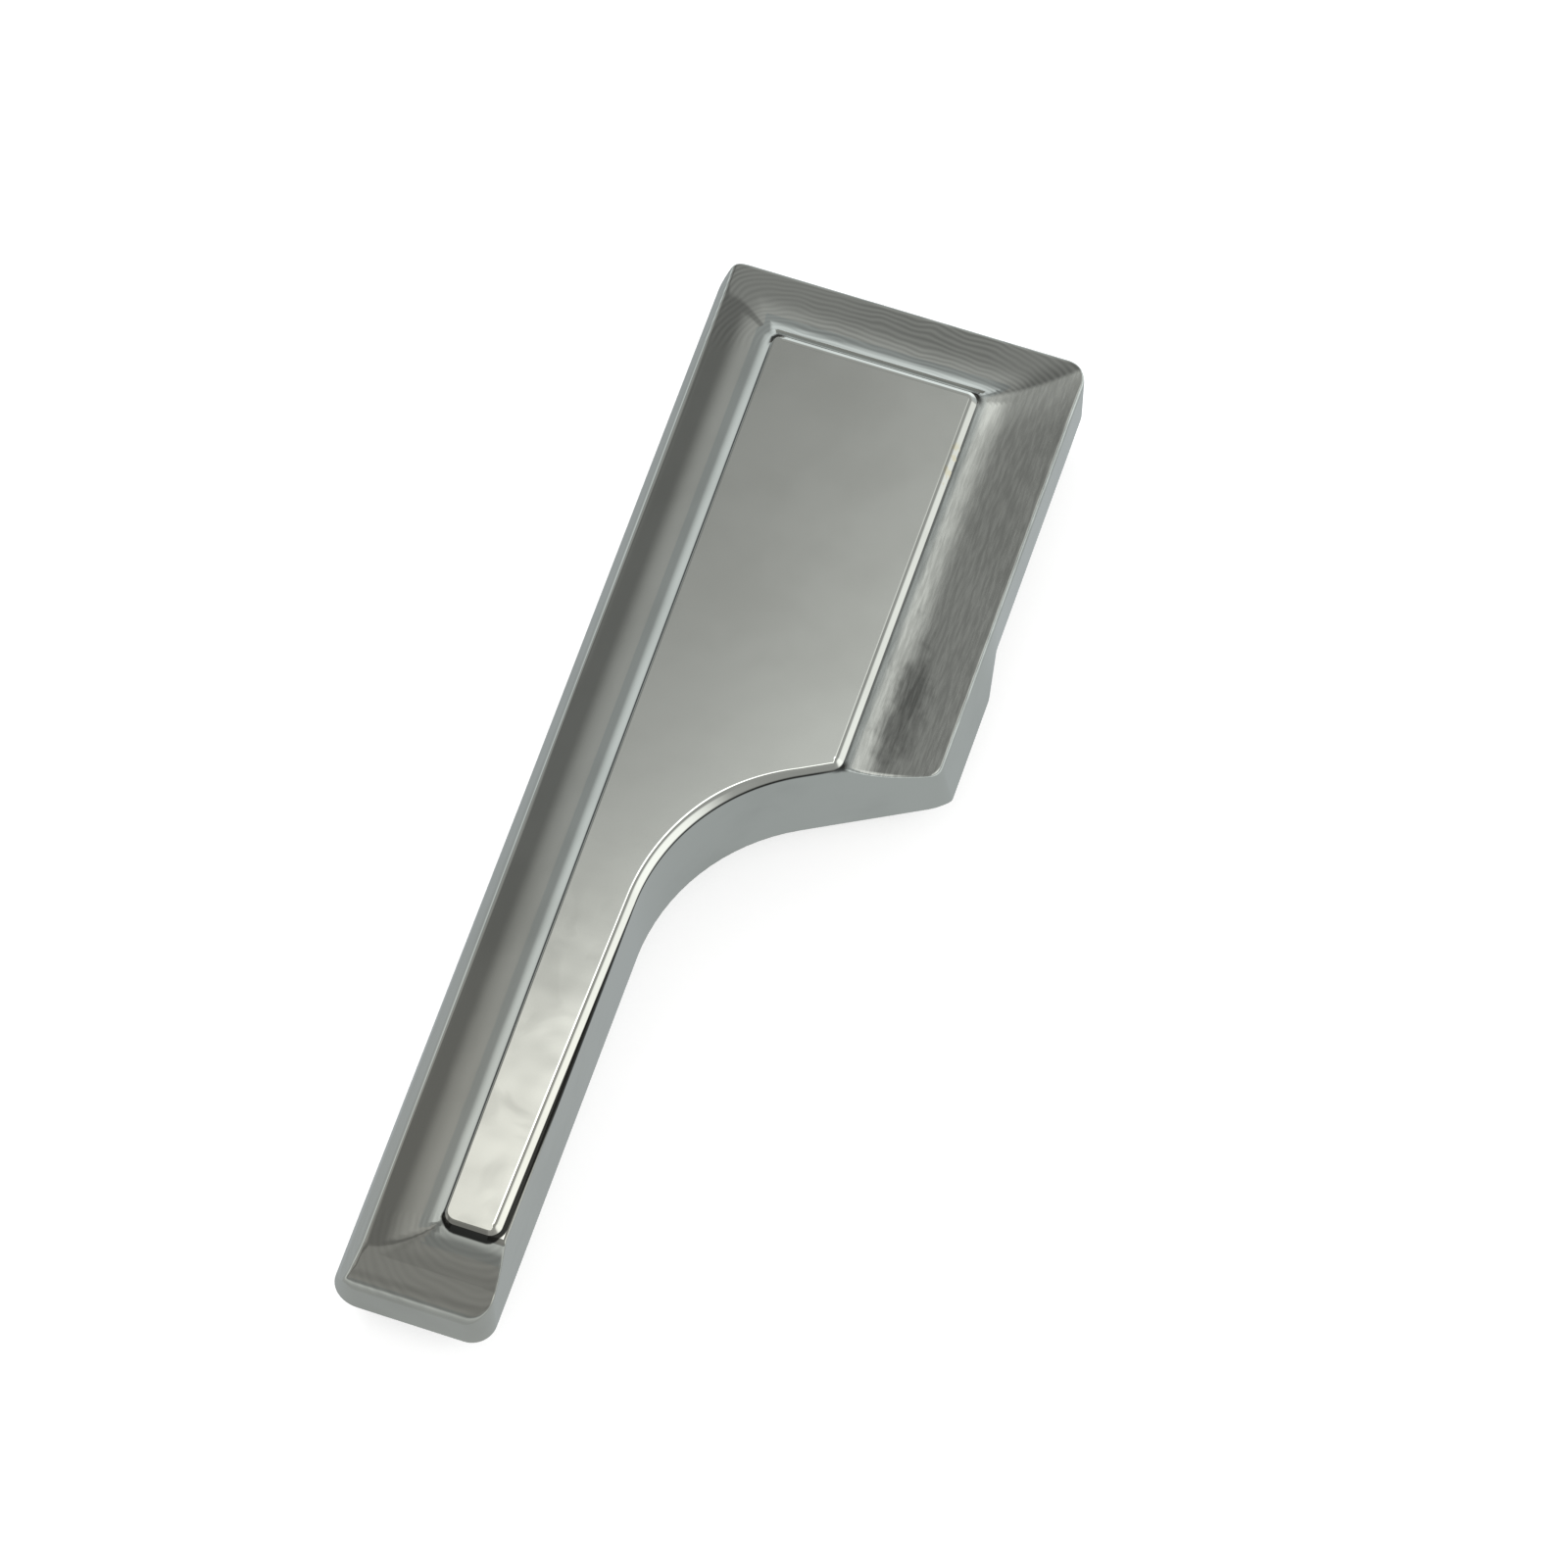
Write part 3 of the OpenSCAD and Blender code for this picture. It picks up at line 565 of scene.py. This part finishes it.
# %% [markdown]
# ## Finishes behind the lever
# Behind the face are plated sheet steel, a turned pin, dark spring wire, natural nylon
# and black rubber. None of them shows from the front, but each is seen when the lever
# is pulled or the handle is turned over, so each has its own grain and gloss.

# %% Other finishes
HAIR_SPAN, FINE_RELIEF = (0.3, 0.7), 0.05 * MM


def grained(name, along, blotches, colours, gloss, spread=None, relief=0.0, **fixed):
    """A finish that varies between two colours and between two values of roughness."""
    made, tree, shader = finish_of(name, **fixed)
    hair, blotch = marks(tree, along, blotches)
    share = ramp(tree, blotch, *spread) if spread else blotch
    tree.links.new(mix_colour(tree, share, *colours), shader.inputs["Base Color"])
    tree.links.new(ramp(tree, hair, *HAIR_SPAN, *gloss), shader.inputs["Roughness"])
    if relief:
        bump = node(tree, "ShaderNodeBump",
                    {"Strength": relief, "Distance": FINE_RELIEF, "Height": hair})
        tree.links.new(bump.outputs[0], shader.inputs["Normal"])
    return made


plated = grained("yellow_plated_steel", (300.0, 900.0, 300.0), 240.0,
                 ((0.66, 0.58, 0.36, 1), (0.60, 0.60, 0.50, 1)), (0.28, 0.42),
                 spread=(0.35, 0.7), Metallic=1.0)
turned = grained("turned_steel", (3000.0, 200.0, 200.0), 200.0,
                 (grey(0.50), grey(0.62)), (0.16, 0.34), Metallic=1.0)
wire_steel = grained("drawn_spring_wire", (900.0, 900.0, 900.0), 500.0,
                     (grey(0.16), (0.26, 0.26, 0.28, 1)), (0.25, 0.42), Metallic=1.0)
nylon = grained("natural_nylon", (700.0, 700.0, 700.0), 300.0,
                ((0.78, 0.75, 0.64, 1), (0.86, 0.84, 0.76, 1)), (0.38, 0.52),
                Subsurface_Weight=0.15, Subsurface_Scale=0.001)
rubber = grained("black_rubber", (1400.0, 1400.0, 1400.0), 400.0,
                 (grey(0.018), grey(0.045)), (0.6, 0.8), relief=0.3,
                 Specular_IOR_Level=0.35)
print("finishes:", [m.name for m in bpy.data.materials])


# %% [markdown]
# ## Dress the ready-made nodes
# The shapes behind the lever are right as they are, so they keep their meshes and only
# get a finish. The export needs it on the object's own material slots.

# %% Dress the ready-made nodes
def dress(name, finish):
    piece = frame["nodes"][name]
    if not piece.material_slots:
        piece.data.materials.append(finish)
    for held in piece.material_slots:
        held.material = finish


for name, finish in (("hinge_bracket", plated), ("weld_nuts", plated), ("hinge_pin", turned),
                     ("pin_clip", wire_steel), ("left_bush", nylon), ("right_bush", nylon),
                     ("rod_bush", nylon), ("bump_stops", rubber)):
    dress(name, finish)
    print(name, "is", finish.name)

# %% [markdown]
# ## Lever: sizes of the face
# Chrome shows every facet, so the lever's outside is made again with exact normals. These
# are the sizes of the face in millimetres: x from the left edge, y from the tip of the
# arm, z from the casting's rim. The outline is the ready-made frame's own, except on the
# left. There the photograph shows it further in, so the wall leans.

# %% Face sizes
HEAD_W, LEVER_L, ARM_W, HEAD_L = 47.6, 140.0, 20.0, 58.0
NOTCH_R, NOTCH_ANGLE = 25.0, radians(29)
NOTCH_X, NOTCH_Y = ARM_W + NOTCH_R, LEVER_L - HEAD_L
NOTCH_CY = NOTCH_Y - (NOTCH_R + sin(NOTCH_ANGLE) * (HEAD_W - NOTCH_X)) / cos(NOTCH_ANGLE)
EDGE_Z, CREASE_Z, PANEL_STEP, COVE_R = 9.2, 15.5, 0.9, 16.0
PANEL_LEFT, PANEL_RIGHT, PANEL_TOP, PANEL_TIP, PANEL_MID = 11.2, 37.2, 128.4, 7.6, 24.0
BEVEL_SPREAD, PANEL_TAPER, TIP_ROLL, ROLL_CENTRE = 1.0, 0.9, 3.4, 1.5
FLARE, FLARE_END, FLARE_OUT, FLARE_START = 1.2, 104.0, 6.6, 2
RIM_GAP = 0.4
STRIP_IN, FOOT_IN, STRIP_W, STRIP_DROP = 0.9, 0.2, 2.4, 6.0
EDGE_W, EDGE_DROP = 0.6, 0.6
TO_FRAME = np.array([-(HEAD_W + FLARE) / 2, -LEVER_L / 2, RIM_GAP])
MITRE_SOFT, STRIP_SOFT, CRISP_SOFT, ROLL_SOFT, WALL_ROUND = 1.1, 1.0, 0.4, 1.3, 0.45
OUTLINE_SOFT, CORNER_SOFT, PANEL_SOFT, CROWN = 3.0, 2.4, 1.5, 0.0012
PANEL_BANK, NARROW_BANK, BANK_LEAN = 1.17, 0.40, radians(46)
print("head", HEAD_W, "x", HEAD_L, "mm, arm", ARM_W, "mm wide")

# %% [markdown]
# ## Lever: outline and panel
# Both are closed lines made of straight runs and rounded corners. The finger notch is
# such a corner too, a hollow one of 25 mm. Each point keeps the direction that points
# outwards, so a line can be moved in by any distance.

# %% Rounded loops
SAME_PLACE = 1e-4


def rounded_loop(corners, step=0.6, turn_step=radians(8)):
    """Points and outward normals of a closed line through (x, y, radius), anticlockwise."""
    points, normals = [], []
    places = [np.array(c[:2], float) for c in corners]
    for i, (here, (_, _, radius)) in enumerate(zip(places, corners)):
        # the arc of this corner
        before, after = here - places[i - 1], places[(i + 1) % len(places)] - here
        length = np.linalg.norm(after)
        before, after = before / np.linalg.norm(before), after / length
        turned = np.arctan2(before[0] * after[1] - before[1] * after[0], before @ after)
        hand = np.sign(turned) * radius
        start = here - before * radius * np.tan(abs(turned) / 2)
        out = np.array([before[1], -before[0]])
        centre = start - hand * out
        count = max(1, int(np.ceil(max(abs(turned) / turn_step, abs(turned) * radius / step))))
        for k in range(count + 1):
            a = turned * k / count
            normal = np.array([out[0] * cos(a) - out[1] * sin(a),
                               out[0] * sin(a) + out[1] * cos(a)])
            points.append(centre + hand * normal)
            normals.append(normal)
        # the straight run to the start of the next arc
        nx, ny, next_r = corners[(i + 1) % len(corners)]
        beyond = places[(i + 2) % len(places)] - (nx, ny)
        beyond = beyond / np.linalg.norm(beyond)
        bend = abs(np.arctan2(after[0] * beyond[1] - after[1] * beyond[0], after @ beyond))
        run = length - np.linalg.norm(points[-1] - here) - next_r * np.tan(bend / 2)
        for k in range(1, max(1, int(run / step))):
            points.append(points[-1] + after * run / max(1, int(run / step)))
            normals.append(normal)
    keep = [i for i in range(len(points))
            if np.linalg.norm(points[i] - points[i - 1]) > SAME_PLACE]
    return np.array(points)[keep], np.array(normals)[keep]


# %% [markdown]
# ## Lever: the two lines
# The outline and the panel's line both start at the left of the arm's tip and run
# anticlockwise, past the notch and round the head.

# %% Outline and panel
along = np.array([cos(NOTCH_ANGLE), sin(NOTCH_ANGLE)])
notch_meet = (ARM_W, NOTCH_CY + NOTCH_R * np.tan((pi / 2 - NOTCH_ANGLE) / 2), NOTCH_R)
panel_corner = np.array([HEAD_W, NOTCH_Y]) - along * (HEAD_W - PANEL_RIGHT) / along[0]
outline, outline_out = rounded_loop([
    (STRIP_IN, 0, OUTLINE_SOFT), (ARM_W, 0, OUTLINE_SOFT), notch_meet,
    (HEAD_W, NOTCH_Y, CORNER_SOFT), (HEAD_W, LEVER_L, OUTLINE_SOFT),
    (STRIP_IN, LEVER_L, OUTLINE_SOFT)])
panel, panel_out = rounded_loop([
    (PANEL_LEFT + BEVEL_SPREAD, PANEL_TIP, PANEL_SOFT),
    (ARM_W - PANEL_TAPER, PANEL_TIP, PANEL_SOFT), (ARM_W, NOTCH_CY, 0.0), notch_meet,
    (*panel_corner, PANEL_SOFT), (PANEL_RIGHT, PANEL_TOP, PANEL_SOFT),
    (PANEL_LEFT, PANEL_TOP, PANEL_SOFT)])
print("outline", len(outline), "points, panel", len(panel), "points")


# %% [markdown]
# ## Lever: measuring in plan
# Two questions come up again and again: how far is a point from a closed line, and is it
# inside. A soft minimum and an eased share join two values without a kink.

# %% Plan helpers
def distance(points, loop):
    nearest = np.full(len(points), 1e9)
    for a, b in zip(loop, np.roll(loop, -1, axis=0)):
        t = np.clip((points - a) @ (b - a) / ((b - a) @ (b - a)), 0, 1)
        gaps = np.linalg.norm(points - a - t[:, None] * (b - a), axis=1)
        nearest = np.minimum(nearest, gaps)
    return nearest


def within(points, loop):
    inside = np.zeros(len(points), bool)
    x, y = points[:, 0], points[:, 1]
    for (ax, ay), (bx, by) in zip(loop, np.roll(loop, -1, axis=0)):
        if ay != by:
            inside ^= ((ay > y) != (by > y)) & (x < (bx - ax) * (y - ay) / (by - ay) + ax)
    return inside


def soft_min(a, b, softness):
    return np.minimum(a, b) - np.maximum(softness - np.abs(a - b), 0) ** 2 / (4 * softness)


def eased(share):
    share = np.clip(share, 0, 1)
    return share * share * (3 - 2 * share)


def unit(rows):
    return rows / np.linalg.norm(rows, axis=1)[:, None]


# %% [markdown]
# ## Lever: heights
# Height depends on how far a point is from each edge: a slanted strip, then a cove of
# 16 mm radius up to the panel. The tip is rolled over instead. Where two bevels meet, a
# soft minimum rounds the mitre, as the polishing wheel does.

# %% Heights
TIP_ENDS, TIP_COVE_ENDS, NO_BEVEL, NO_LIMIT = 20, 12.0, 30.0, 99.0


def cove(d, bevel, start):
    """Height of the hollow arc that starts on the edge's strip and ends at the panel."""
    rise, run = CREASE_Z - EDGE_Z, bevel - start
    chord = np.hypot(rise, run)
    reach = np.sqrt(COVE_R ** 2 - chord ** 2 / 4)
    cx, cz = start + run / 2 - rise / chord * reach, EDGE_Z + rise / 2 + run / chord * reach
    return cz - np.sqrt(COVE_R ** 2 - np.clip(d - cx, -COVE_R * 0.98, COVE_R * 0.98) ** 2)


def bevel_from(d, bevel, start, drop, softness):
    return soft_min(EDGE_Z - drop * (start - d) / start, cove(d, bevel, start), softness)


def tip_from(d):
    """The roll of the tip, which passes into the cove."""
    centre, radius = ROLL_CENTRE * TIP_ROLL, TIP_ROLL * np.hypot(ROLL_CENTRE, ROLL_CENTRE - 1)
    across = np.clip(d - centre, -radius * 0.999, 0)
    roll = EDGE_Z - centre + np.sqrt(radius ** 2 - across ** 2)
    share = eased((d - TIP_ROLL) / ROLL_SOFT + 0.5)
    return roll * (1 - share) + cove(d, PANEL_TIP, TIP_ROLL) * share


def bevel_height(points):
    x, y = points[:, 0], points[:, 1]
    swing = np.arctan(BEVEL_SPREAD / (PANEL_TOP - PANEL_TIP))
    from_left = PANEL_LEFT + (x - PANEL_LEFT) * cos(swing) + (y - PANEL_TOP) * sin(swing)
    from_right = np.where(y > NOTCH_CY, HEAD_W - x, NO_BEVEL)
    left = bevel_from(from_left, PANEL_LEFT, STRIP_W, STRIP_DROP, STRIP_SOFT)
    top = bevel_from(LEVER_L - y, LEVER_L - PANEL_TOP, EDGE_W, EDGE_DROP, CRISP_SOFT)
    side = bevel_from(from_right, HEAD_W - PANEL_RIGHT, EDGE_W, EDGE_DROP, CRISP_SOFT)
    tip = np.where(y < TIP_ENDS, tip_from(np.minimum(y, TIP_COVE_ENDS)), NO_LIMIT)
    height = soft_min(soft_min(left, top, MITRE_SOFT), side, MITRE_SOFT)
    return soft_min(height, tip, MITRE_SOFT)


def skin_height(points):
    out = np.clip(distance(points, outline), 0, WALL_ROUND)
    drop = WALL_ROUND - np.sqrt(np.maximum(WALL_ROUND ** 2 - (WALL_ROUND - out) ** 2, 0))
    return np.minimum(bevel_height(points), CREASE_Z) - drop


def skin_normals(points, reach=0.02):
    dx, dy = np.array([[reach, 0]]), np.array([[0, reach]])
    slope_x = (skin_height(points + dx) - skin_height(points - dx)) / (2 * reach)
    slope_y = (skin_height(points + dy) - skin_height(points - dy)) / (2 * reach)
    return unit(np.column_stack((-slope_x, -slope_y, np.ones(len(points)))))


# %% [markdown]
# ## Lever: sections of the skin
# The skin is made section by section: bevels, panel roll, panel, walls and the inside.
# Each section brings its points, its faces and a normal for each point, so a crease stays
# sharp where two sections meet and everything else shades smoothly.

# %% Section helpers
SAME_POINT, SLIVER = 1e-6, 1e-5
sections = []


def add_section(points, normals, faces, from_crease):
    sections.append((np.asarray(points), np.asarray(normals), faces, np.asarray(from_crease)))


def fill(points, loops, keep):
    """Triangles over the points, with the loops kept as edges, where keep says so."""
    edges, start = [], 0
    for size in loops:
        edges += [(start + i, start + (i + 1) % size) for i in range(size)]
        start += size
    found, _, faces, given, _, _ = delaunay_2d_cdt([Vector(p) for p in points], edges, [], 0,
                                                   SAME_POINT)
    found = np.array([v[:] for v in found])
    faces = np.array([f for f in faces if len(f) == 3])
    a, b, c = (found[faces[:, k]] for k in range(3))
    area = np.abs((b - a)[:, 0] * (c - a)[:, 1] - (b - a)[:, 1] * (c - a)[:, 0])
    faces = faces[(area > SLIVER) & keep((a + b + c) / 3)]
    return found, faces.tolist(), np.array([min(g) if g else -1 for g in given])


def strip(rows):
    """Faces between rows of points, each a closed loop of the same length."""
    size = len(rows[0])
    return [(j * size + i, j * size + (i + 1) % size, (j + 1) * size + (i + 1) % size,
             (j + 1) * size + i) for j in range(len(rows) - 1) for i in range(size)]


# %% [markdown]
# ## Lever: bevels
# Rows of points follow the edge closely, where the surface turns fastest, and an even
# grid covers the rest. Points on the panel's line take the slope just outside it.

# %% Bevels
INSETS, GRID = (0.05, 0.14, 0.27, 0.45, 0.6, 0.78, 1.0, 1.3), 0.5
EDGE_CLEAR, PANEL_CLEAR = 1.5, 0.04
rows = np.vstack([outline - outline_out * d for d in INSETS])
columns, lines = np.arange(GRID / 2, HEAD_W, GRID), np.arange(GRID / 2, LEVER_L, GRID)
grid = np.stack(np.meshgrid(columns, lines), -1).reshape(-1, 2)
grid = grid[within(grid, outline)]
grid = grid[distance(grid, outline) > EDGE_CLEAR]
free = np.vstack((rows, grid))
free = free[within(free, outline) & ~within(free, panel) & (distance(free, panel) > PANEL_CLEAR)]
found, faces, source = fill(np.vstack((outline, panel, free)), (len(outline), len(panel)),
                            lambda mid: within(mid, outline) & ~within(mid, panel))
normals = skin_normals(found)
at_panel = (source >= len(outline)) & (source < len(outline) + len(panel))
pushed = found[at_panel] + PANEL_CLEAR * panel_out[source[at_panel] - len(outline)]
normals[at_panel] = skin_normals(pushed)

# %% [markdown]
# ## Lever: lean of the walls
# Beside the notch the wall leans out to the rim, most at the corner and less and less
# above it. The wall on the left leans too. The bevels' outermost points take the wall's
# direction, so the rounded edge passes into it.

# %% Lean of the walls
wall_lean = np.clip((FLARE_END - outline[:, 1]) / FLARE_OUT, 0, 1)
bend_x = CORNER_SOFT * (1 - sin(NOTCH_ANGLE))
wall_lean *= np.clip((outline[:, 0] - HEAD_W + bend_x) / bend_x, 0, 1)
wall_lean *= outline[:, 1] > NOTCH_Y - FLARE_START
wall_top = skin_height(outline)
left_lean = (STRIP_IN - FOOT_IN) * np.clip(-outline_out[:, 0], 0, 1)
wall_out = unit(np.column_stack((outline_out, (wall_lean * FLARE + left_lean) / wall_top)))
at_edge = (source >= 0) & (source < len(outline))
normals[at_edge] = wall_out[source[at_edge]]
add_section(np.column_stack((found, skin_height(found))), normals, faces,
            distance(found, panel))

# %% [markdown]
# ## Lever: panel
# A bank climbs from the bevels to the flat and lies down as it gets there. It is wide
# towards the right, the notch and the top, and narrow at the left and the tip. The flat
# has a slight crown, in its normals only.

# %% Panel
BANK_ROWS, EASE_FROM, SUNK = 12, 0.45, 0.01
WIDE_TOWARDS, WIDE_BLUR = np.array([0.8, 0.6]), 0.7
shares = np.linspace(0, 1, BANK_ROWS)
leans = BANK_LEAN * (1 - eased((shares - EASE_FROM) / (1 - EASE_FROM)))
rise = np.concatenate(([0], np.cumsum(np.tan((leans[1:] + leans[:-1]) / 2))))
facing = eased((panel_out @ WIDE_TOWARDS + WIDE_BLUR / 2) / WIDE_BLUR)[:, None]
bank = NARROW_BANK + (PANEL_BANK - NARROW_BANK) * facing
roll, tilted = [], []
for t, lean, up_by in zip(shares, leans, rise / rise[-1]):
    roll.append(np.column_stack((panel - panel_out * bank * t,
                                 np.full(len(panel), CREASE_Z + PANEL_STEP * up_by))))
    tilted.append(np.column_stack((panel_out * np.sin(lean), np.full(len(panel), np.cos(lean)))))
roll[0][:, 2] = skin_height(panel) - SUNK
tilted[-1][:, 0] += (roll[-1][:, 0] - PANEL_MID) * CROWN
add_section(np.vstack(roll), unit(np.vstack(tilted)), strip(roll),
            np.repeat(-shares, len(panel)))

flat_edge = roll[-1][:, :2]
found, faces, _ = fill(flat_edge, (len(flat_edge),), lambda mid: within(mid, flat_edge))
crowned = np.column_stack(((found[:, 0] - PANEL_MID) * CROWN, np.zeros(len(found)),
                           np.ones(len(found))))
add_section(np.column_stack((found, np.full(len(found), CREASE_Z + PANEL_STEP))), unit(crowned),
            faces, np.full(len(found), -1.0))

# %% [markdown]
# ## Lever: walls
# The walls go straight from the rounded edge down to the rim. Their foot lies further out
# than their top where they lean.

# %% Walls
slide = np.clip((NOTCH_Y + FLARE_START - outline[:, 1]) / FLARE_START, 0, 1)
slide = np.tan(NOTCH_ANGLE) * slide
foot = outline + FLARE * wall_lean[:, None] * np.column_stack((np.ones(len(outline)), slide))
foot[:, 0] -= left_lean
walls = [np.column_stack((foot, np.zeros(len(outline)))), np.column_stack((outline, wall_top))]
below = distance(outline, panel)
add_section(np.vstack(walls), np.vstack((wall_out, wall_out)), strip(walls),
            np.concatenate((below + wall_top, below)))
print("faces of the sections:", [len(s[2]) for s in sections])

# %% [markdown]
# ## Lever: the inside
# Everything behind the face comes from the frame itself: ribs, lugs, rod eye and the
# rim. A copy is welded, its hard edges are marked, and the faces of the outer skin are
# left out, because the sections above stand in their place. Points of the rim that would
# stick out past the new walls move to their foot.

# %% Inside
HARD_ANGLE, WELD = radians(28), 0.002 * MM
RIM_Z, RIM_WAY, SKIN_NEAR = 0.05, -0.9, 0.5


def inside_faces(name):
    mesh = frame["nodes"][name].data.copy()
    mesh.transform(frame["nodes"][name].matrix_world)
    form = bmesh.new()
    form.from_mesh(mesh)
    bmesh.ops.remove_doubles(form, verts=form.verts, dist=WELD)
    mids = np.array([f.calc_center_median()[:] for f in form.faces]) / MM - TO_FRAME
    ways = np.array([f.normal[:] for f in form.faces])
    plan = mids[:, :2]
    rim = (mids[:, 2] < RIM_Z) & (ways[:, 2] < RIM_WAY)
    near_top = mids[:, 2] > np.minimum(bevel_height(plan), CREASE_Z) - SKIN_NEAR
    near_wall = (distance(plan, outline) < SKIN_NEAR) | ~within(plan, outline)
    outer = ~rim & (near_top | near_wall)
    bmesh.ops.delete(form, geom=[f for f, o in zip(list(form.faces), outer) if o],
                     context="FACES")
    loose = np.array([v.co[:] for v in form.verts]) / MM - TO_FRAME
    for vert, (x, y, z), inside in zip(form.verts, loose, within(loose[:, :2], foot)):
        if z < RIM_Z and not inside:
            x, y = foot[np.argmin(np.linalg.norm(foot - (x, y), axis=1))]
            vert.co = (np.array([x, y, z]) + TO_FRAME) * MM
    for face in form.faces:
        face.smooth = True
    for edge in form.edges:
        edge.smooth = edge.calc_face_angle(pi) < HARD_ANGLE
    form.to_mesh(mesh)
    form.free()
    return mesh


# %% [markdown]
# ## Lever: assembly
# All sections and the inside go into one mesh. Each corner of a face gets its normal, and
# each point its distance from the crease, which the chrome reads.

# %% Assembly of the skin
FAR_FROM_CREASE = 9.0


def join_skin(name, finish):
    points, corner_normals, faces, creases, start = [], [], [], [], 0
    for place, normals, section, crease in sections:
        points.append((place + TO_FRAME) * MM)
        for face in section:
            faces.append([start + i for i in face])
            corner_normals.extend(normals[i] for i in face)
        creases.append(crease)
        start += len(place)
    inside = inside_faces(name)
    points.append(np.array([v.co[:] for v in inside.vertices]))
    creases.append(np.full(len(inside.vertices), FAR_FROM_CREASE))
    way = [n.vector[:] for n in inside.corner_normals]
    for face in inside.polygons:
        faces.append([start + i for i in face.vertices])
        corner_normals.extend(way[i] for i in face.loop_indices)
    mesh = bpy.data.meshes.new(name + "_skin")
    mesh.from_pydata(np.vstack(points).tolist(), [], faces)
    for face in mesh.polygons:
        face.use_smooth = True
    mesh.normals_split_custom_set([tuple(n) for n in corner_normals])
    held = mesh.attributes.new("from_crease", "FLOAT", "POINT")
    held.data.foreach_set("value", np.concatenate(creases).astype("f"))
    mesh.materials.append(finish)
    made = bpy.data.objects.new(name + "_skin", mesh)
    bpy.context.scene.collection.objects.link(made)
    return made


lever_skin = join_skin("lever", chrome)
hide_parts("lever")
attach(lever_skin, "lever")
print("lever skin:", len(lever_skin.data.polygons), "faces")

# %% [markdown]
# ## Return spring: path of the wire
# A torsion spring is one wire: a foot on the bracket, a coil round the pin and an arm
# under the lever's face. The path runs through the middle of the wire.

# %% Path of the wire
WIRE_D, WIRE_SIDES = 1.2 * MM, 16
COIL_R, COIL_TURNS, COIL_HALF = 3.7 * MM, 5, 3.24 * MM
REACH, LIFT = 20.5 * MM, radians(11.04)
TURN_STEPS, END_STEPS = 32, 6
PIVOT = Vector(frame["record"]["behaviour"]["joints"][0]["pos_m"])


def wire_path():
    turns = 2 * pi * COIL_TURNS + pi - LIFT
    steps = TURN_STEPS * COIL_TURNS
    points = []
    for i in range(steps + 1):
        share = i / steps
        angle = -pi / 2 + share * turns
        points.append(PIVOT + Vector(((2 * share - 1) * COIL_HALF, cos(angle) * COIL_R,
                                      sin(angle) * COIL_R)))
    foot = [points[0] + Vector((0, -REACH * k / END_STEPS, 0)) for k in range(END_STEPS, 0, -1)]
    rising = Vector((0, -cos(LIFT), sin(LIFT)))
    arm = [points[-1] + rising * REACH * k / END_STEPS for k in range(1, END_STEPS + 1)]
    return foot + points + arm


# %% [markdown]
# ## Return spring: sweep
# Geometry Nodes sweep a round section along the path. When the lever opens, the real coil
# twists, but this swept wire stays as it is.

# %% Return spring
def sweep_group():
    group = bpy.data.node_groups.new("sweep_wire", "GeometryNodeTree")
    face = group.interface
    for name, kind in (("Path", "Geometry"), ("Wire diameter", "Float"), ("Sides", "Int"),
                       ("Finish", "Material")):
        face.new_socket(name, in_out="INPUT", socket_type="NodeSocket" + kind)
    face.new_socket("Wire", in_out="OUTPUT", socket_type="NodeSocketGeometry")
    start = node(group, "NodeGroupInput").outputs
    curve = node(group, "GeometryNodeMeshToCurve", {"Mesh": start["Path"]})
    section = node(group, "GeometryNodeCurvePrimitiveCircle",
                   {"Resolution": start["Sides"],
                    "Radius": times(group, start["Wire diameter"], 0.5)}, mode="RADIUS")
    swept = node(group, "GeometryNodeCurveToMesh", {"Curve": curve.outputs[0], "Fill Caps": True,
                                                    "Profile Curve": section.outputs[0]})
    smooth = node(group, "GeometryNodeSetShadeSmooth", {"Geometry": swept.outputs[0]})
    real = node(group, "GeometryNodeRealizeInstances", {"Geometry": smooth.outputs[0]})
    painted = node(group, "GeometryNodeSetMaterial",
                   {"Geometry": real.outputs[0], "Material": start["Finish"]})
    node(group, "NodeGroupOutput", {0: painted.outputs[0]})
    return group


def set_input(modifier, name, value):
    for item in modifier.node_group.interface.items_tree:
        if item.name == name and item.in_out == "INPUT":
            modifier[item.identifier] = value


def swept_wire(name, path, finish):
    mesh = bpy.data.meshes.new(name + "_path")
    mesh.from_pydata([p[:] for p in path], [(i, i + 1) for i in range(len(path) - 1)], [])
    made = bpy.data.objects.new(name, mesh)
    bpy.context.scene.collection.objects.link(made)
    swept = made.modifiers.new("sweep", "NODES")
    swept.node_group = sweep_group()
    set_input(swept, "Wire diameter", WIRE_D)
    set_input(swept, "Sides", WIRE_SIDES)
    set_input(swept, "Finish", finish)
    bpy.context.view_layer.update()
    shown = made.evaluated_get(bpy.context.evaluated_depsgraph_get())
    made.data = bpy.data.meshes.new_from_object(shown)
    made.modifiers.clear()
    return made


spring = swept_wire("spring_wire", wire_path(), wire_steel)
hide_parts("return_spring")
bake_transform(spring)
print("spring:", len(spring.data.polygons), "faces")
